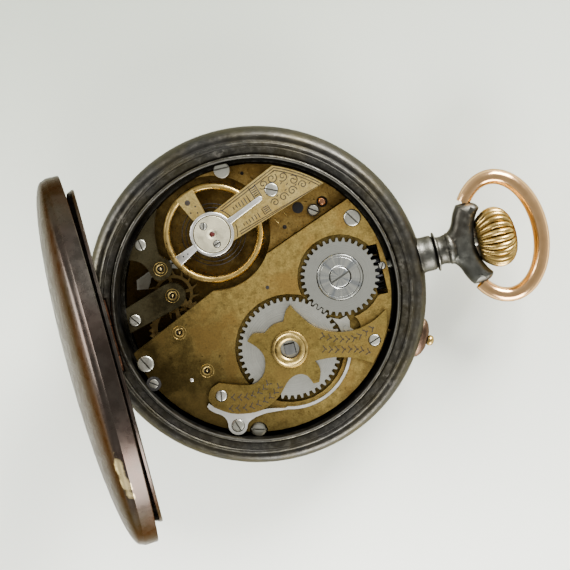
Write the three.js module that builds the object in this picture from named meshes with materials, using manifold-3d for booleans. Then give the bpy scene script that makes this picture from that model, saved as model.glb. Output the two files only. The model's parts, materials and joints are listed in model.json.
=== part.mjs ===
// Open face pocket watch, about 50 mm across, lying on its crystal with both back covers open.
// Millimetres, +Z up out of the back of the watch, +X towards the pendant (12 o'clock).
// The origin is on the case axis, on the flat of the crystal.
import * as THREE from 'three';
import { mergeVertices } from 'three/addons/utils/BufferGeometryUtils.js';
import Module from 'manifold-3d';

const wasm = await Module();
wasm.setup();

// ---------------------------------------------------------------- driving dimensions
const RING_STEPS = 36;            // facets round every large ring, so that nested rings line up
const GAP = 0.05;                 // running gap between parts that nearly touch

const CASE_RADIUS = 25;           // widest circle of the band
const STEM_Z = 8;                 // height of the stem, the pendant and the widest circle
const BAND_HALF = 3.4;            // half height of the rounded band
const BAND_ROUND = 1.6;           // how far the band bulges past its shoulders
const BAND_STEPS = 5;
const SHOULDER_RADIUS = CASE_RADIUS - BAND_ROUND;
const SHOULDER_Z = STEM_Z + BAND_HALF;
const STEP_RADIUS = 22.6;         // wall that the outer cover closes round
const FLANGE_Z = 12.6;            // flat that the inner cover closes on
const LIP_OUTER = 20.75;
const LIP_INNER = 20.3;
const LIP_Z = 13.4;
const LEDGE_RADIUS = 19.7;        // the movement's flange bears under this ledge
const LEDGE_LOW = 6.3;
const LEDGE_HIGH = 7.2;
const CASE_BACK_Z = 3.7;          // dial side of the case ring

const COVER_OPEN = 77;            // degrees that the back cover stands open at rest
const INNER_COVER_OPEN = 79;      // and the inner cover
const COVER_RADIUS = 23.4;
const COVER_DEPTH = 5;
const COVER_RIM = 2;               // height of the upright rim below the dome
const COVER_THICK = 0.5;
const COVER_HINGE = { x: -23.76, z: 11.5 };
const INNER_COVER_RADIUS = 21.3;
const INNER_COVER_DEPTH = 2.1;
const INNER_COVER_RIM = 0.7;
const INNER_COVER_THICK = 0.4;
const INNER_HINGE = { x: -21.62, z: 13.05 };
const KNUCKLE_RADIUS = 0.62;
const HINGE_PIN_RADIUS = 0.28;
const OUTER_KNUCKLES = [[-3.9, -1.75], [1.75, 3.9]];   // spans of the case's own knuckles along Y
const INNER_KNUCKLES = [[-5.3, -3], [1.5, 5.3]];
const INNER_PIN_HALF = 5.25;       // half length of the cuvette's hinge pin

const CRYSTAL_RADIUS = 19.3;
const CRYSTAL_THICK = 1.6;
const BEZEL_RADIUS = 23.4;

const NECK_RADIUS = 2.5;
const YOKE_HALF_SPAN = 6;         // from the stem axis to the end of each yoke horn
const BOW_PIVOT_X = 32.9;
const BOW_WIRE = 0.93;            // radius of the bow's wire
const BOW_CENTRE_X = 37.2;
const BOW_HALF_LENGTH = 5.75;
const BOW_HALF_WIDTH = 8.8;

const CROWN_X = 33.75;
const CROWN_RIBS = 24;
const STEM_RADIUS = 0.75;

const PUSHER_ANGLE = -28.5;       // degrees round the band from the pendant
const PUSHER_HEAD = 0.78;

const DIAL = { low: 3.75, high: 4.3, radius: 19.2 };
const PLATE = { low: 5.4, step: 6.2, high: 7, flange: 20.1, radius: 19.5 };
const HIGH_GROUND_Z = 10.3;       // raised part of the main plate that carries the balance cock
const BRIDGE = { low: 10.4, high: 12 };
const WHEEL = { low: 11.45, high: 12.15, floor: 11.4 };   // ratchet and crown wheels
const RATCHET_BRIDGE = { low: 12.35, high: 12.85 };
const COCK = { low: 11.9, high: 12.7 };

// Arbor centres on the movement plan
const BALANCE = { x: -3.75, y: 10.7 };
const BARREL = { x: 3, y: -8.1 };
const CROWN_WHEEL = { x: 12.5, y: 0.25 };
const THIRD = { x: -9.5, y: -8.4 };
const FOURTH = { x: -12, y: -2 };
const ESCAPE = { x: -11.8, y: 3.3 };
const PALLET = { x: -12.5, y: 7.5 };
const WELL_RADIUS = 8.3;          // round hollow that the balance turns in

// Tooth counts
const TEETH = {
  windingPinion: 20, crownWheel: 36, ratchet: 48,
  barrel: 50, thirdPinion: 10, third: 36, fourthPinion: 6, fourth: 36, escapePinion: 6, escape: 15,
  minuteWheel: 40, cannonPinion: 10, hourPinion: 10, hourWheel: 30,
};

// ---------------------------------------------------------------- finishes
const finish = (color, roughness, metalness) => (
  new THREE.MeshStandardMaterial({ color, roughness, metalness })
);
const GUNMETAL = finish(0x4a4a46, 0.42, 0.9);
const ROSE_GOLD = finish(0xd9a878, 0.22, 1);
const GOLD = finish(0xc9a45c, 0.26, 1);
const GILT = finish(0xa88642, 0.38, 1);
const PALE_GILT = finish(0xd8be78, 0.32, 1);
const STEEL = finish(0xa9abad, 0.3, 1);
const DARK_STEEL = finish(0x3a3a3c, 0.4, 0.9);
const COPPER = finish(0x8c5a42, 0.4, 0.9);
const ENAMEL = finish(0xf2efe6, 0.2, 0);
const BLUED = finish(0x1c2438, 0.25, 0.9);
const GLASS = finish(0xe8f0f2, 0.05, 0);
const RUBY = finish(0x9a1f3a, 0.1, 0);

// ---------------------------------------------------------------- shape helpers
const rad = (degrees) => degrees * Math.PI / 180;
const polar = (centre, radius, angle) => new THREE.Vector2(
  centre.x + radius * Math.cos(angle), centre.y + radius * Math.sin(angle));
const distance = (a, b) => Math.hypot(a.x - b.x, a.y - b.y);
const bearing = (from, to) => Math.atan2(to.y - from.y, to.x - from.x);
const ORIGIN = { x: 0, y: 0 };

/** A closed, outward-facing mesh with shared vertices, from any closed three.js geometry. */
function closed(geometry) {
  const bare = geometry.clone();
  bare.deleteAttribute('normal');
  bare.deleteAttribute('uv');
  const merged = mergeVertices(bare, 1e-4);
  const position = merged.attributes.position;
  const kept = [];
  let volume = 0;
  const [a, b, c] = [new THREE.Vector3(), new THREE.Vector3(), new THREE.Vector3()];
  for (let i = 0; i < merged.index.count; i += 3) {
    const corner = [0, 1, 2].map((k) => merged.index.getX(i + k));
    if (corner[0] === corner[1] || corner[1] === corner[2] || corner[2] === corner[0]) continue;
    kept.push(...corner);
    a.fromBufferAttribute(position, corner[0]);
    b.fromBufferAttribute(position, corner[1]);
    c.fromBufferAttribute(position, corner[2]);
    volume += a.dot(b.cross(c));
  }
  if (volume < 0) kept.reverse();
  merged.setIndex(kept);
  return merged;
}

/** A manifold solid, for joining and cutting. */
function solid(geometry) {
  const shape = closed(geometry);
  const vertProperties = new Float32Array(shape.attributes.position.array);
  const triVerts = new Uint32Array(shape.index.array);
  return new wasm.Manifold(new wasm.Mesh({ numProp: 3, vertProperties, triVerts }));
}

/** The geometry of a manifold solid. */
function surface(manifold) {
  const mesh = manifold.getMesh();
  const geometry = new THREE.BufferGeometry();
  geometry.setAttribute('position', new THREE.BufferAttribute(new Float32Array(mesh.vertProperties), 3));
  geometry.setIndex(new THREE.BufferAttribute(new Uint32Array(mesh.triVerts), 1));
  return geometry;
}

/** A flat plate of any outline between two heights. */
function plate(shape, low, high, curveSegments = 12) {
  const geometry = new THREE.ExtrudeGeometry(shape, { depth: high - low, bevelEnabled: false, curveSegments });
  return geometry.translate(0, 0, low);
}

const solidPlate = (shape, low, high, curveSegments) => solid(plate(shape, low, high, curveSegments));

/** A round disc or, with a bore, a ring. */
function disc(centre, radius, low, high, bore = 0, steps = 16) {
  const shape = new THREE.Shape(circlePoints(centre, radius, steps));
  if (bore > 0) shape.holes.push(new THREE.Path(circlePoints(centre, bore, steps)));
  return plate(shape, low, high);
}

function circlePoints(centre, radius, steps) {
  return Array.from({ length: steps }, (_, i) => polar(centre, radius, 2 * Math.PI * i / steps));
}

const solidDisc = (...args) => solid(disc(...args));

/** A body turned about +Z from [radius, height] points; a profile off the axis closes on itself. */
function turned(profile, steps = RING_STEPS) {
  const points = profile.map(([r, z]) => new THREE.Vector2(r, z));
  if (profile[0][0] > 0) points.push(points[0].clone());
  return new THREE.LatheGeometry(points, steps).rotateX(Math.PI / 2);
}

/** A body turned about the stem axis from [x, radius] points. */
function turnedOnStem(profile, steps = 20) {
  const geometry = turned(profile.map(([x, r]) => [r, x]), steps);
  return geometry.rotateY(Math.PI / 2).translate(0, 0, STEM_Z);
}

/** A straight rod along Y. */
function rodAlongY(x, z, radius, y0, y1, steps = 12) {
  return new THREE.CylinderGeometry(radius, radius, y1 - y0, steps).translate(x, (y0 + y1) / 2, z);
}

/** A box between two corners. */
function block(x0, x1, y0, y1, z0, z1) {
  const geometry = new THREE.BoxGeometry(x1 - x0, y1 - y0, z1 - z0);
  return geometry.translate((x0 + x1) / 2, (y0 + y1) / 2, (z0 + z1) / 2);
}

const solidBlock = (...args) => solid(block(...args));

/** A shape through straight corners. */
function polygon(points) {
  return new THREE.Shape(points.map(([x, y]) => new THREE.Vector2(x, y)));
}

/** Radii of a spur gear of a given module. */
const gearSize = (teeth, module) => ({
  teeth, module,
  pitch: module * teeth / 2,
  tip: module * (teeth / 2 + 0.8),
  root: module * (teeth / 2 - 1.1),
});

/** The module that makes two tooth counts mesh at a centre distance. */
const meshModule = (a, b, teethA, teethB) => 2 * distance(a, b) / (teethA + teethB);

/** Outline of a square-toothed gear; first is the angle of the middle of one tooth. */
function gearShape(centre, gear, first, bore = 0, boreSteps = 16) {
  const step = 2 * Math.PI / gear.teeth;
  const points = [];
  for (let i = 0; i < gear.teeth; i += 1) {
    const middle = first + i * step;
    points.push(
      polar(centre, gear.root, middle - 0.29 * step),
      polar(centre, gear.tip, middle - 0.12 * step),
      polar(centre, gear.tip, middle + 0.12 * step),
      polar(centre, gear.root, middle + 0.29 * step));
  }
  const shape = new THREE.Shape(points);
  if (bore > 0) shape.holes.push(new THREE.Path(circlePoints(centre, bore, boreSteps)));
  return shape;
}

/** Outline of a fine gear with pointed teeth. */
function fineGearShape(centre, gear, first, bore = 0, boreSteps = 12) {
  const step = 2 * Math.PI / gear.teeth;
  const points = [];
  for (let i = 0; i < gear.teeth; i += 1) {
    points.push(polar(centre, gear.tip, first + i * step), polar(centre, gear.root, first + (i + 0.5) * step));
  }
  const shape = new THREE.Shape(points);
  if (bore > 0) shape.holes.push(new THREE.Path(circlePoints(centre, bore, boreSteps)));
  return shape;
}

/** Openings between the arms of a wheel. */
function addCrossings(shape, centre, arms, inner, outer, armWidth, firstArm) {
  for (let i = 0; i < arms; i += 1) {
    const from = firstArm + 2 * Math.PI * i / arms;
    const to = firstArm + 2 * Math.PI * (i + 1) / arms;
    const spreadIn = armWidth / 2 / inner;
    const spreadOut = armWidth / 2 / outer;
    const hole = new THREE.Path();
    hole.absarc(centre.x, centre.y, outer, from + spreadOut, to - spreadOut, false);
    hole.absarc(centre.x, centre.y, inner, to - spreadIn, from + spreadIn, true);
    hole.closePath();
    shape.holes.push(hole);
  }
}

/** A flat spiral strip with a whole number of turns. */
function spiralShape(centre, inner, outer, turns, width, stepsPerTurn) {
  const count = turns * stepsPerTurn;
  const edge = (offset) => {
    const side = [];
    for (let i = 0; i <= count; i += 1) {
      const share = i / count;
      side.push(polar(centre, inner + (outer - inner) * share + offset, 2 * Math.PI * turns * share));
    }
    return side;
  };
  return new THREE.Shape([...edge(width / 2), ...edge(-width / 2).reverse()]);
}

/** A slot-headed screw: a slotted head with its threaded stub below. */
function screw(centre, radius, top, slotAngle, head = 0.5, stub = 1.1) {
  const headSolid = solidDisc(centre, radius, top - head, top, 0, 12);
  const shank = solidDisc(centre, radius * 0.5, top - head - stub, top - head / 2, 0, 6);
  const slotBox = block(-radius * 2, radius * 2, -radius * 0.12, radius * 0.12, top - head * 0.4, top + 1);
  const slot = solid(slotBox.rotateZ(rad(slotAngle)).translate(centre.x, centre.y, 0));
  return surface(headSolid.add(shank).subtract(slot));
}

// ---------------------------------------------------------------- assembly
const watch = new THREE.Group();

function add(name, geometry, material, parent = watch) {
  const mesh = new THREE.Mesh(geometry, material);
  mesh.name = name;
  parent.add(mesh);
  return mesh;
}

// ---------------------------------------------------------------- case
/** Points along the rounded band, from the dial side to the back. */
function bandArc(radiusOffset, steps) {
  const points = [];
  for (let i = 0; i <= steps; i += 1) {
    const t = rad(-90 + 180 * i / steps);
    points.push([SHOULDER_RADIUS + radiusOffset + BAND_ROUND * Math.cos(t), STEM_Z + BAND_HALF * Math.sin(t)]);
  }
  return points;
}

/** A solid a little larger than the band, for seating parts on its outside. */
const bandCutter = () => solid(turned([[0, 4.6], ...bandArc(GAP, BAND_STEPS), [0, SHOULDER_Z]]));

function caseMiddle() {
  const profile = [
    [20.6, CASE_BACK_Z], [23.2, CASE_BACK_Z], [23.2, 4.4],
    ...bandArc(0, BAND_STEPS),
    [STEP_RADIUS, SHOULDER_Z], [STEP_RADIUS, FLANGE_Z - 0.12], [STEP_RADIUS - 0.12, FLANGE_Z],
    [LIP_OUTER, FLANGE_Z], [LIP_OUTER, LIP_Z - 0.1], [LIP_OUTER - 0.1, LIP_Z], [LIP_INNER, LIP_Z],
    [LIP_INNER, LEDGE_HIGH], [LEDGE_RADIUS, LEDGE_HIGH], [LEDGE_RADIUS, LEDGE_LOW],
    [20.3, LEDGE_LOW], [20.3, 4.5],
  ];
  let ring = solid(turned(profile));
  // Notch and fixed knuckles of the outer cover's hinge
  const seat = COVER_HINGE;
  ring = ring.subtract(solidBlock(-26, seat.x + KNUCKLE_RADIUS + 0.12, -4.1, 4.1, seat.z - 0.9, seat.z + 2));
  for (const [y0, y1] of OUTER_KNUCKLES) {
    const lug = solidBlock(seat.x - 0.35, seat.x + 0.5, y0, y1, seat.z - 1.2, seat.z);
    ring = ring.add(lug).add(solid(rodAlongY(seat.x, seat.z, KNUCKLE_RADIUS, y0, y1)));
  }
  ring = ring.subtract(solid(rodAlongY(seat.x, seat.z, HINGE_PIN_RADIUS + GAP, -5, 5, 8)));
  // Notch and fixed knuckles of the inner cover's hinge
  const inner = INNER_HINGE;
  ring = ring.subtract(solidBlock(-22.5, inner.x + 0.75, -5.9, 5.9, inner.z - 0.75, LIP_Z + 1));
  for (const [y0, y1] of INNER_KNUCKLES) {
    const lug = solidBlock(inner.x - 0.4, inner.x + 0.45, y0, y1, inner.z - 0.9, inner.z);
    ring = ring.add(lug).add(solid(rodAlongY(inner.x, inner.z, KNUCKLE_RADIUS, y0, y1)));
  }
  ring = ring.subtract(solid(rodAlongY(inner.x, inner.z, HINGE_PIN_RADIUS + GAP, -7, 7, 8)));
  // Holes for the stem and for the setting pusher
  const stemHole = turnedOnStem([[19, 0], [19, 1.05], [26, 1.05], [26, 0]], 16);
  const pusherHole = turnedOnStem([[18, 0], [18, 0.6], [27, 0.6], [27, 0]], 12).rotateZ(rad(PUSHER_ANGLE));
  return surface(ring.subtract(solid(stemHole)).subtract(solid(pusherHole)));
}

/** Neck, flange, collar and horned yoke that carries the bow, as one piece. */
function pendant() {
  const neck = solid(turnedOnStem([
    [23.2, 0], [23.2, NECK_RADIUS + 0.25], [25.4, NECK_RADIUS], [26.85, NECK_RADIUS], [27, 2.85], [27.25, 2.85],
    [27.4, 2.05], [28.7, 2.05], [28.85, 2.3], [29.6, 2.3], [31.6, 2.1], [31.6, 0],
  ], 24));
  const outline = new THREE.Shape();
  outline.moveTo(29.4, 2.3);
  outline.quadraticCurveTo(30.5, 3.6, 31.4, YOKE_HALF_SPAN);
  outline.lineTo(33.8, YOKE_HALF_SPAN);
  outline.quadraticCurveTo(34.5, 5.6, 34.6, 4.85);
  outline.quadraticCurveTo(32.9, 2.9, 32.8, 0);
  outline.quadraticCurveTo(32.9, -2.9, 34.6, -4.85);
  outline.quadraticCurveTo(34.5, -5.6, 33.8, -YOKE_HALF_SPAN);
  outline.lineTo(31.4, -YOKE_HALF_SPAN);
  outline.quadraticCurveTo(30.5, -3.6, 29.4, -2.3);
  outline.closePath();
  const halfYoke = 1.75;
  const yoke = solidPlate(outline, STEM_Z - halfYoke, STEM_Z + halfYoke, 4);
  const round = new THREE.SphereGeometry(1, 16, 8).scale(4.6, 9, 2.3).translate(32.6, 0, STEM_Z);
  const stemHole = solid(turnedOnStem([[20, 0], [20, 0.95], [36, 0.95], [36, 0]], 20));
  let body = neck.add(yoke.intersect(solid(round))).subtract(bandCutter()).subtract(stemHole);
  for (const side of [-1, 1]) {
    const y0 = side * (YOKE_HALF_SPAN - 1.4);
    const y1 = side * (YOKE_HALF_SPAN + 1);
    body = body.subtract(solid(rodAlongY(BOW_PIVOT_X, STEM_Z, 0.62, Math.min(y0, y1), Math.max(y0, y1), 12)));
  }
  return surface(body);
}

/** Oval wire bow with a pivot pin entering each horn of the yoke. */
function bow() {
  const route = [];
  const endAngle = Math.acos((BOW_PIVOT_X - BOW_CENTRE_X) / BOW_HALF_LENGTH);
  for (let i = 0; i <= 20; i += 1) {
    const t = -endAngle + 2 * endAngle * i / 20;
    const y = BOW_HALF_WIDTH * Math.sin(t);
    route.push(new THREE.Vector3(BOW_CENTRE_X + BOW_HALF_LENGTH * Math.cos(t), y, STEM_Z));
  }
  const clear = YOKE_HALF_SPAN + 0.12;
  route[0].y = -clear;
  route[20].y = clear;
  const path = new THREE.CatmullRomCurve3(route);
  const section = new THREE.Shape();
  section.absarc(0, 0, BOW_WIRE, 0, 2 * Math.PI);
  const wire = new THREE.ExtrudeGeometry(section, { steps: 26, curveSegments: 4, extrudePath: path });
  // Only what lies outside the yoke horns is kept
  let body = solid(wire);
  const between = solidBlock(BOW_PIVOT_X - 4, BOW_PIVOT_X + 2.2, -clear, clear, STEM_Z - 3, STEM_Z + 3);
  body = body.subtract(between);
  for (const side of [-1, 1]) {
    const ends = [side * (YOKE_HALF_SPAN - 1.1), side * (YOKE_HALF_SPAN + 0.5)].sort((a, b) => a - b);
    body = body.add(solid(rodAlongY(BOW_PIVOT_X, STEM_Z, 0.5, ends[0], ends[1], 12)));
  }
  return surface(body);
}

/** Half-moon guard beside the setting pusher. */
function pusherGuard() {
  const lens = new THREE.SphereGeometry(1, 12, 8).scale(1.5, 3, 1.5).translate(24.6, 0, STEM_Z);
  const hole = turnedOnStem([[20, 0], [20, PUSHER_HEAD + 0.17], [29, PUSHER_HEAD + 0.17], [29, 0]], 20);
  const body = solid(lens).subtract(solid(hole)).rotate([0, 0, PUSHER_ANGLE]);
  return surface(body.subtract(bandCutter()));
}

/** Round-headed pin that is pressed with a fingernail to set the hands. */
function setPusher() {
  const profile = [
    [19.95, 0], [19.95, 0.42], [25.85, 0.42], [25.95, PUSHER_HEAD - 0.1], [26.05, PUSHER_HEAD],
    [26.85, PUSHER_HEAD], [27.02, PUSHER_HEAD - 0.3], [27.02, 0],
  ];
  return turnedOnStem(profile, 16).rotateZ(rad(PUSHER_ANGLE));
}

function bezel() {
  return turned([
    [19.05, 0.5], [20.3, 0.42], [21.8, 0.95], [22.9, 2.1], [BEZEL_RADIUS, 3.6],
    [20, 3.6], [19, 2.3], [19, 1.72], [19.42, 1.68], [19.42, 0.86], [19.05, 0.82],
  ]);
}

function crystal() {
  return turned([
    [0, 0], [17.2, 0], [18.5, 0.22], [18.95, 0.6], [18.98, 0.92], [CRYSTAL_RADIUS, 0.94],
    [CRYSTAL_RADIUS, CRYSTAL_THICK], [0, CRYSTAL_THICK],
  ]);
}

// ---------------------------------------------------------------- covers
/** A domed cover in its closed place, measured from its own hinge line. */
function domedCover(radius, depth, rimHeight, thickness, crownSteps) {
  const outer = [];
  const inner = [];
  for (let i = 0; i <= crownSteps; i += 1) {
    const t = rad(90 * i / crownSteps);
    outer.push([(radius - 0.25) * Math.cos(t), rimHeight + 0.1 + (depth - rimHeight - 0.1) * Math.sin(t)]);
    const innerRadius = radius - thickness;
    inner.push([innerRadius * Math.cos(t), rimHeight + (depth - thickness - rimHeight) * Math.sin(t)]);
  }
  outer[crownSteps][0] = 0;
  inner[crownSteps][0] = 0;
  return turned([...inner.reverse(), [radius - thickness, 0], [radius, 0], [radius, rimHeight], ...outer]);
}

/** Joins a cover to its knuckle and cuts its rim clear of the case's knuckles. */
function addKnuckle(cover, hinge, own, fixed, tongueReach, tongueDepth) {
  const tube = solid(rodAlongY(0, 0, KNUCKLE_RADIUS, ...own));
  const tongue = solidBlock(0, tongueReach, ...own, ...tongueDepth);
  let placed = cover.translate([-hinge.x, 0, hinge.rim]);
  for (const span of fixed) {
    const clearance = rodAlongY(0, 0, KNUCKLE_RADIUS + 0.1, span[0] - 0.08, span[1] + 0.08);
    placed = placed.subtract(solid(clearance));
  }
  const pinHole = rodAlongY(0, 0, HINGE_PIN_RADIUS + GAP, own[0] - 1, own[1] + 1, 8);
  return placed.add(tube).add(tongue).subtract(solid(pinHole));
}

function backCover() {
  const dome = solid(domedCover(COVER_RADIUS, COVER_DEPTH, COVER_RIM, COVER_THICK, 5));
  const hinge = { x: COVER_HINGE.x, rim: 0 };
  return surface(addKnuckle(dome, hinge, [-1.65, 1.65], OUTER_KNUCKLES, 0.8, [0, 0.55]));
}

function cuvette() {
  const dome = solid(domedCover(INNER_COVER_RADIUS, INNER_COVER_DEPTH, INNER_COVER_RIM, INNER_COVER_THICK, 4));
  const hinge = { x: INNER_HINGE.x, rim: FLANGE_Z + GAP - INNER_HINGE.z };
  return surface(addKnuckle(dome, hinge, [-2.9, 1.4], INNER_KNUCKLES, 0.7, [-0.3, 0.3]));
}

/** A group on a hinge line, turned up to the open position. */
function openGroup(hinge, degrees) {
  const group = new THREE.Group();
  group.position.set(hinge.x, 0, hinge.z);
  group.rotation.y = -rad(degrees);
  watch.add(group);
  return group;
}

// ---------------------------------------------------------------- winding and setting work
/** Fluted onion crown. */
function crown() {
  const profile = [
    [CROWN_X, 0.85], [CROWN_X, 3.1], [34.8, 4.1], [36.2, 4.4], [37.6, 4],
    [38.7, 2.7], [39, 1], [39, 0], [35.7, 0], [35.7, 0.85], [CROWN_X, 0.85],
  ];
  const points = profile.map(([x, r]) => new THREE.Vector2(r, x));
  const body = new THREE.LatheGeometry(points, CROWN_RIBS * 2).rotateX(Math.PI / 2).rotateY(Math.PI / 2);
  const position = body.attributes.position;
  for (let i = 0; i < position.count; i += 1) {
    const y = position.getY(i);
    const z = position.getZ(i);
    const radius = Math.hypot(y, z);
    if (radius < 1.2) continue;
    const flute = 1 + 0.045 * Math.cos(CROWN_RIBS * Math.atan2(z, y));
    position.setY(i, y * flute);
    position.setZ(i, z * flute);
  }
  return body.translate(0, 0, STEM_Z);
}

const stem = () => turnedOnStem([[11.9, 0], [11.9, STEM_RADIUS], [35.6, STEM_RADIUS], [35.6, 0]], 20);

/** Gear on the stem whose teeth drive the crown wheel. */
function windingPinion() {
  const shape = gearShape(ORIGIN, { teeth: TEETH.windingPinion, tip: 3.4, root: 2.7 }, 0, 0.85);
  return plate(shape, 17.35, 18.55).rotateY(Math.PI / 2).translate(0, 0, STEM_Z);
}

/** Grooved clutch that slides between winding and setting. */
function slidingPinion() {
  return turnedOnStem([
    [12.5, 0.85], [12.5, 1.7], [13.2, 1.7], [13.2, 1.2], [14.1, 1.2], [14.1, 1.7], [15.6, 1.7], [15.6, 0.85],
  ], 16);
}

/** Two-armed lever that the pusher tips and that moves the clutch. */
function settingLever() {
  const pivot = { x: 16.3, y: -5.5 };
  const outline = new THREE.Shape();
  outline.moveTo(15.6, -6.1);
  outline.lineTo(16.3, -8.9);
  outline.lineTo(17.05, -8.9);
  outline.lineTo(17.2, -5.5);
  outline.quadraticCurveTo(16.9, -4.5, 15.9, -4.3);
  outline.lineTo(14.2, -2.1);
  outline.lineTo(13.5, -2.3);
  outline.lineTo(15.2, -5);
  outline.closePath();
  const arms = solidPlate(outline, 7.9, 8.5, 6);
  const post = solidDisc(pivot, 0.35, 7.1, 10.3, 0, 12);
  return surface(arms.add(post));
}

const wheelsModule = meshModule(CROWN_WHEEL, BARREL, TEETH.crownWheel, TEETH.ratchet);

function crownWheel() {
  const gear = gearSize(TEETH.crownWheel, wheelsModule);
  const ring = gearShape(CROWN_WHEEL, gear, bearing(CROWN_WHEEL, BARREL), 3.4, 32);
  return plate(ring, WHEEL.low, WHEEL.high);
}

/** Steel boss that the crown wheel turns on. */
function crownWheelCore() {
  const boss = solidDisc(CROWN_WHEEL, 3.28, WHEEL.low, WHEEL.high + 0.15, 0, 32);
  return surface(boss.subtract(solidDisc(CROWN_WHEEL, 1.65, WHEEL.high - 0.4, 13, 0, 20))
    .subtract(solidDisc(CROWN_WHEEL, 0.9, 10, 13, 0, 12)));
}

function ratchetWheel() {
  const gear = gearSize(TEETH.ratchet, wheelsModule);
  const gapAngle = bearing(BARREL, CROWN_WHEEL) + Math.PI / TEETH.ratchet;
  const wheel = solidPlate(gearShape(BARREL, gear, gapAngle), WHEEL.low, WHEEL.high);
  const half = 0.8;
  const { x, y } = BARREL;
  return surface(wheel.subtract(solidBlock(x - half, x + half, y - half, y + half, 11, 13)));
}

/** Barrel arbor with a square for the ratchet wheel and a key square on top. */
function barrelArbor() {
  const half = 0.72;
  const { x, y } = BARREL;
  const lower = solidDisc(BARREL, 0.95, 5.7, 7.4, 0, 12);
  const core = solidDisc(BARREL, 1.5, 7.35, 10.2, 0, 14);
  const neck = solidDisc(BARREL, 1.15, 10.1, 11.35, 0, 14);
  const square = solidBlock(x - half, x + half, y - half, y + half, 11.3, 12.95);
  return surface(lower.add(core).add(neck).add(square));
}

/** Ornamental bridge over the ratchet wheel: spiked hub with two arms. */
function ratchetBridge() {
  const outline = new THREE.Shape();
  const curve = (...points) => outline.splineThru(points.map(([x, y]) => new THREE.Vector2(x, y)));
  outline.moveTo(-8.2, -10.45);
  curve([-5.6, -11.4], [-3.3, -11.8], [-1.6, -10.8], [-0.85, -8.6], [-1.4, -6.9], [-2.7, -5.5]);
  curve([-1.6, -4.65], [0, -4.95]);
  curve([1.4, -4.1], [3.05, -3.95]);
  curve([3.8, -2.5], [4.6, -1.9]);
  curve([5.3, -3.2], [7.2, -5.75], [9.8, -7.2], [12.5, -7.65], [15.4, -7.1], [17.85, -5.75]);
  curve([17.3, -8.3], [15.9, -10.9], [14.15, -12.95]);
  curve([12, -11.7], [9, -10.8], [6.1, -10.6]);
  curve([6.55, -12.1], [5.95, -13.8]);
  outline.lineTo(5.1, -13.8);
  curve([4.5, -12.5], [3.3, -11.95], [1.7, -12.5], [-0.4, -14.6], [-3.4, -15.85], [-7.2, -15.35], [-9.8, -13.7]);
  curve([-10.2, -12.3], [-9.5, -11], [-8.2, -10.45]);
  const top = solidPlate(outline, RATCHET_BRIDGE.low, RATCHET_BRIDGE.high, 3);
  const leftFoot = solidDisc({ x: -8.3, y: -12.35 }, 1.6, BRIDGE.high + GAP, RATCHET_BRIDGE.low + 0.2, 0, 14);
  const rightFoot = solidDisc({ x: 15, y: -9.6 }, 1.5, BRIDGE.high + GAP, RATCHET_BRIDGE.low + 0.2, 0, 14);
  let body = top.add(leftFoot).add(rightFoot).subtract(solidDisc(BARREL, 2.1, 12, 13, 0, 20));
  for (const place of RATCHET_BRIDGE_SCREWS) body = body.subtract(screwSeat(place, RATCHET_BRIDGE.high));
  return surface(body);
}

/** Raised bush in the ratchet bridge that steadies the arbor. */
function arborBush() {
  const body = solidDisc(BARREL, 2.7, RATCHET_BRIDGE.high + 0.02, 13.2, 1.35, 20);
  const collar = solidDisc(BARREL, 2.04, RATCHET_BRIDGE.low, 13, 1.35, 20);
  return surface(body.add(collar));
}

/** Click whose beak drops between the ratchet teeth. */
function click() {
  const outline = polygon([
    [9.95, -5.25], [11, -5.75], [12.1, -5.45], [12.35, -6.3], [12.15, -7.3], [12.9, -8.1], [12.2, -9],
    [11.2, -8.5], [10.75, -7.3], [10.6, -6.5],
  ]);
  const pin = solidDisc(CLICK_PIVOT, 0.4, 11.42, 12.2, 0, 12);
  return surface(solidPlate(outline, 11.5, 12.1).add(pin));
}

/** Click spring: screwed foot with a hooked tail and a long thin arm round the ratchet wheel. */
function clickSpring() {
  const outline = new THREE.Shape();
  outline.moveTo(-10.4, -13.1);
  outline.quadraticCurveTo(-9.6, -14.2, -7.6, -15.25);
  outline.quadraticCurveTo(-5, -15.8, -2, -15.95);
  outline.lineTo(0.2, -16.45);
  outline.absarc(BARREL.x, BARREL.y, 8.55, rad(-106), rad(-20), false);
  outline.lineTo(BARREL.x + 8.95 * Math.cos(rad(-20)), BARREL.y + 8.95 * Math.sin(rad(-20)));
  outline.absarc(BARREL.x, BARREL.y, 8.95, rad(-20), rad(-106), true);
  outline.lineTo(-2.5, -16.5);
  outline.quadraticCurveTo(-5.2, -16.6, -5.75, -17.6);
  outline.absarc(-7.1, -17.3, 1.4, rad(-12), rad(-190), true);
  outline.quadraticCurveTo(-8.2, -15.9, -9.2, -15.1);
  outline.quadraticCurveTo(-10.6, -14.3, -10.75, -13.5);
  outline.closePath();
  const body = solidPlate(outline, BRIDGE.high + 0.03, BRIDGE.high + 0.28, 8);
  return surface(body.subtract(screwSeat(CLICK_SPRING_SCREW, BRIDGE.high + 0.28)));
}

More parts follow.
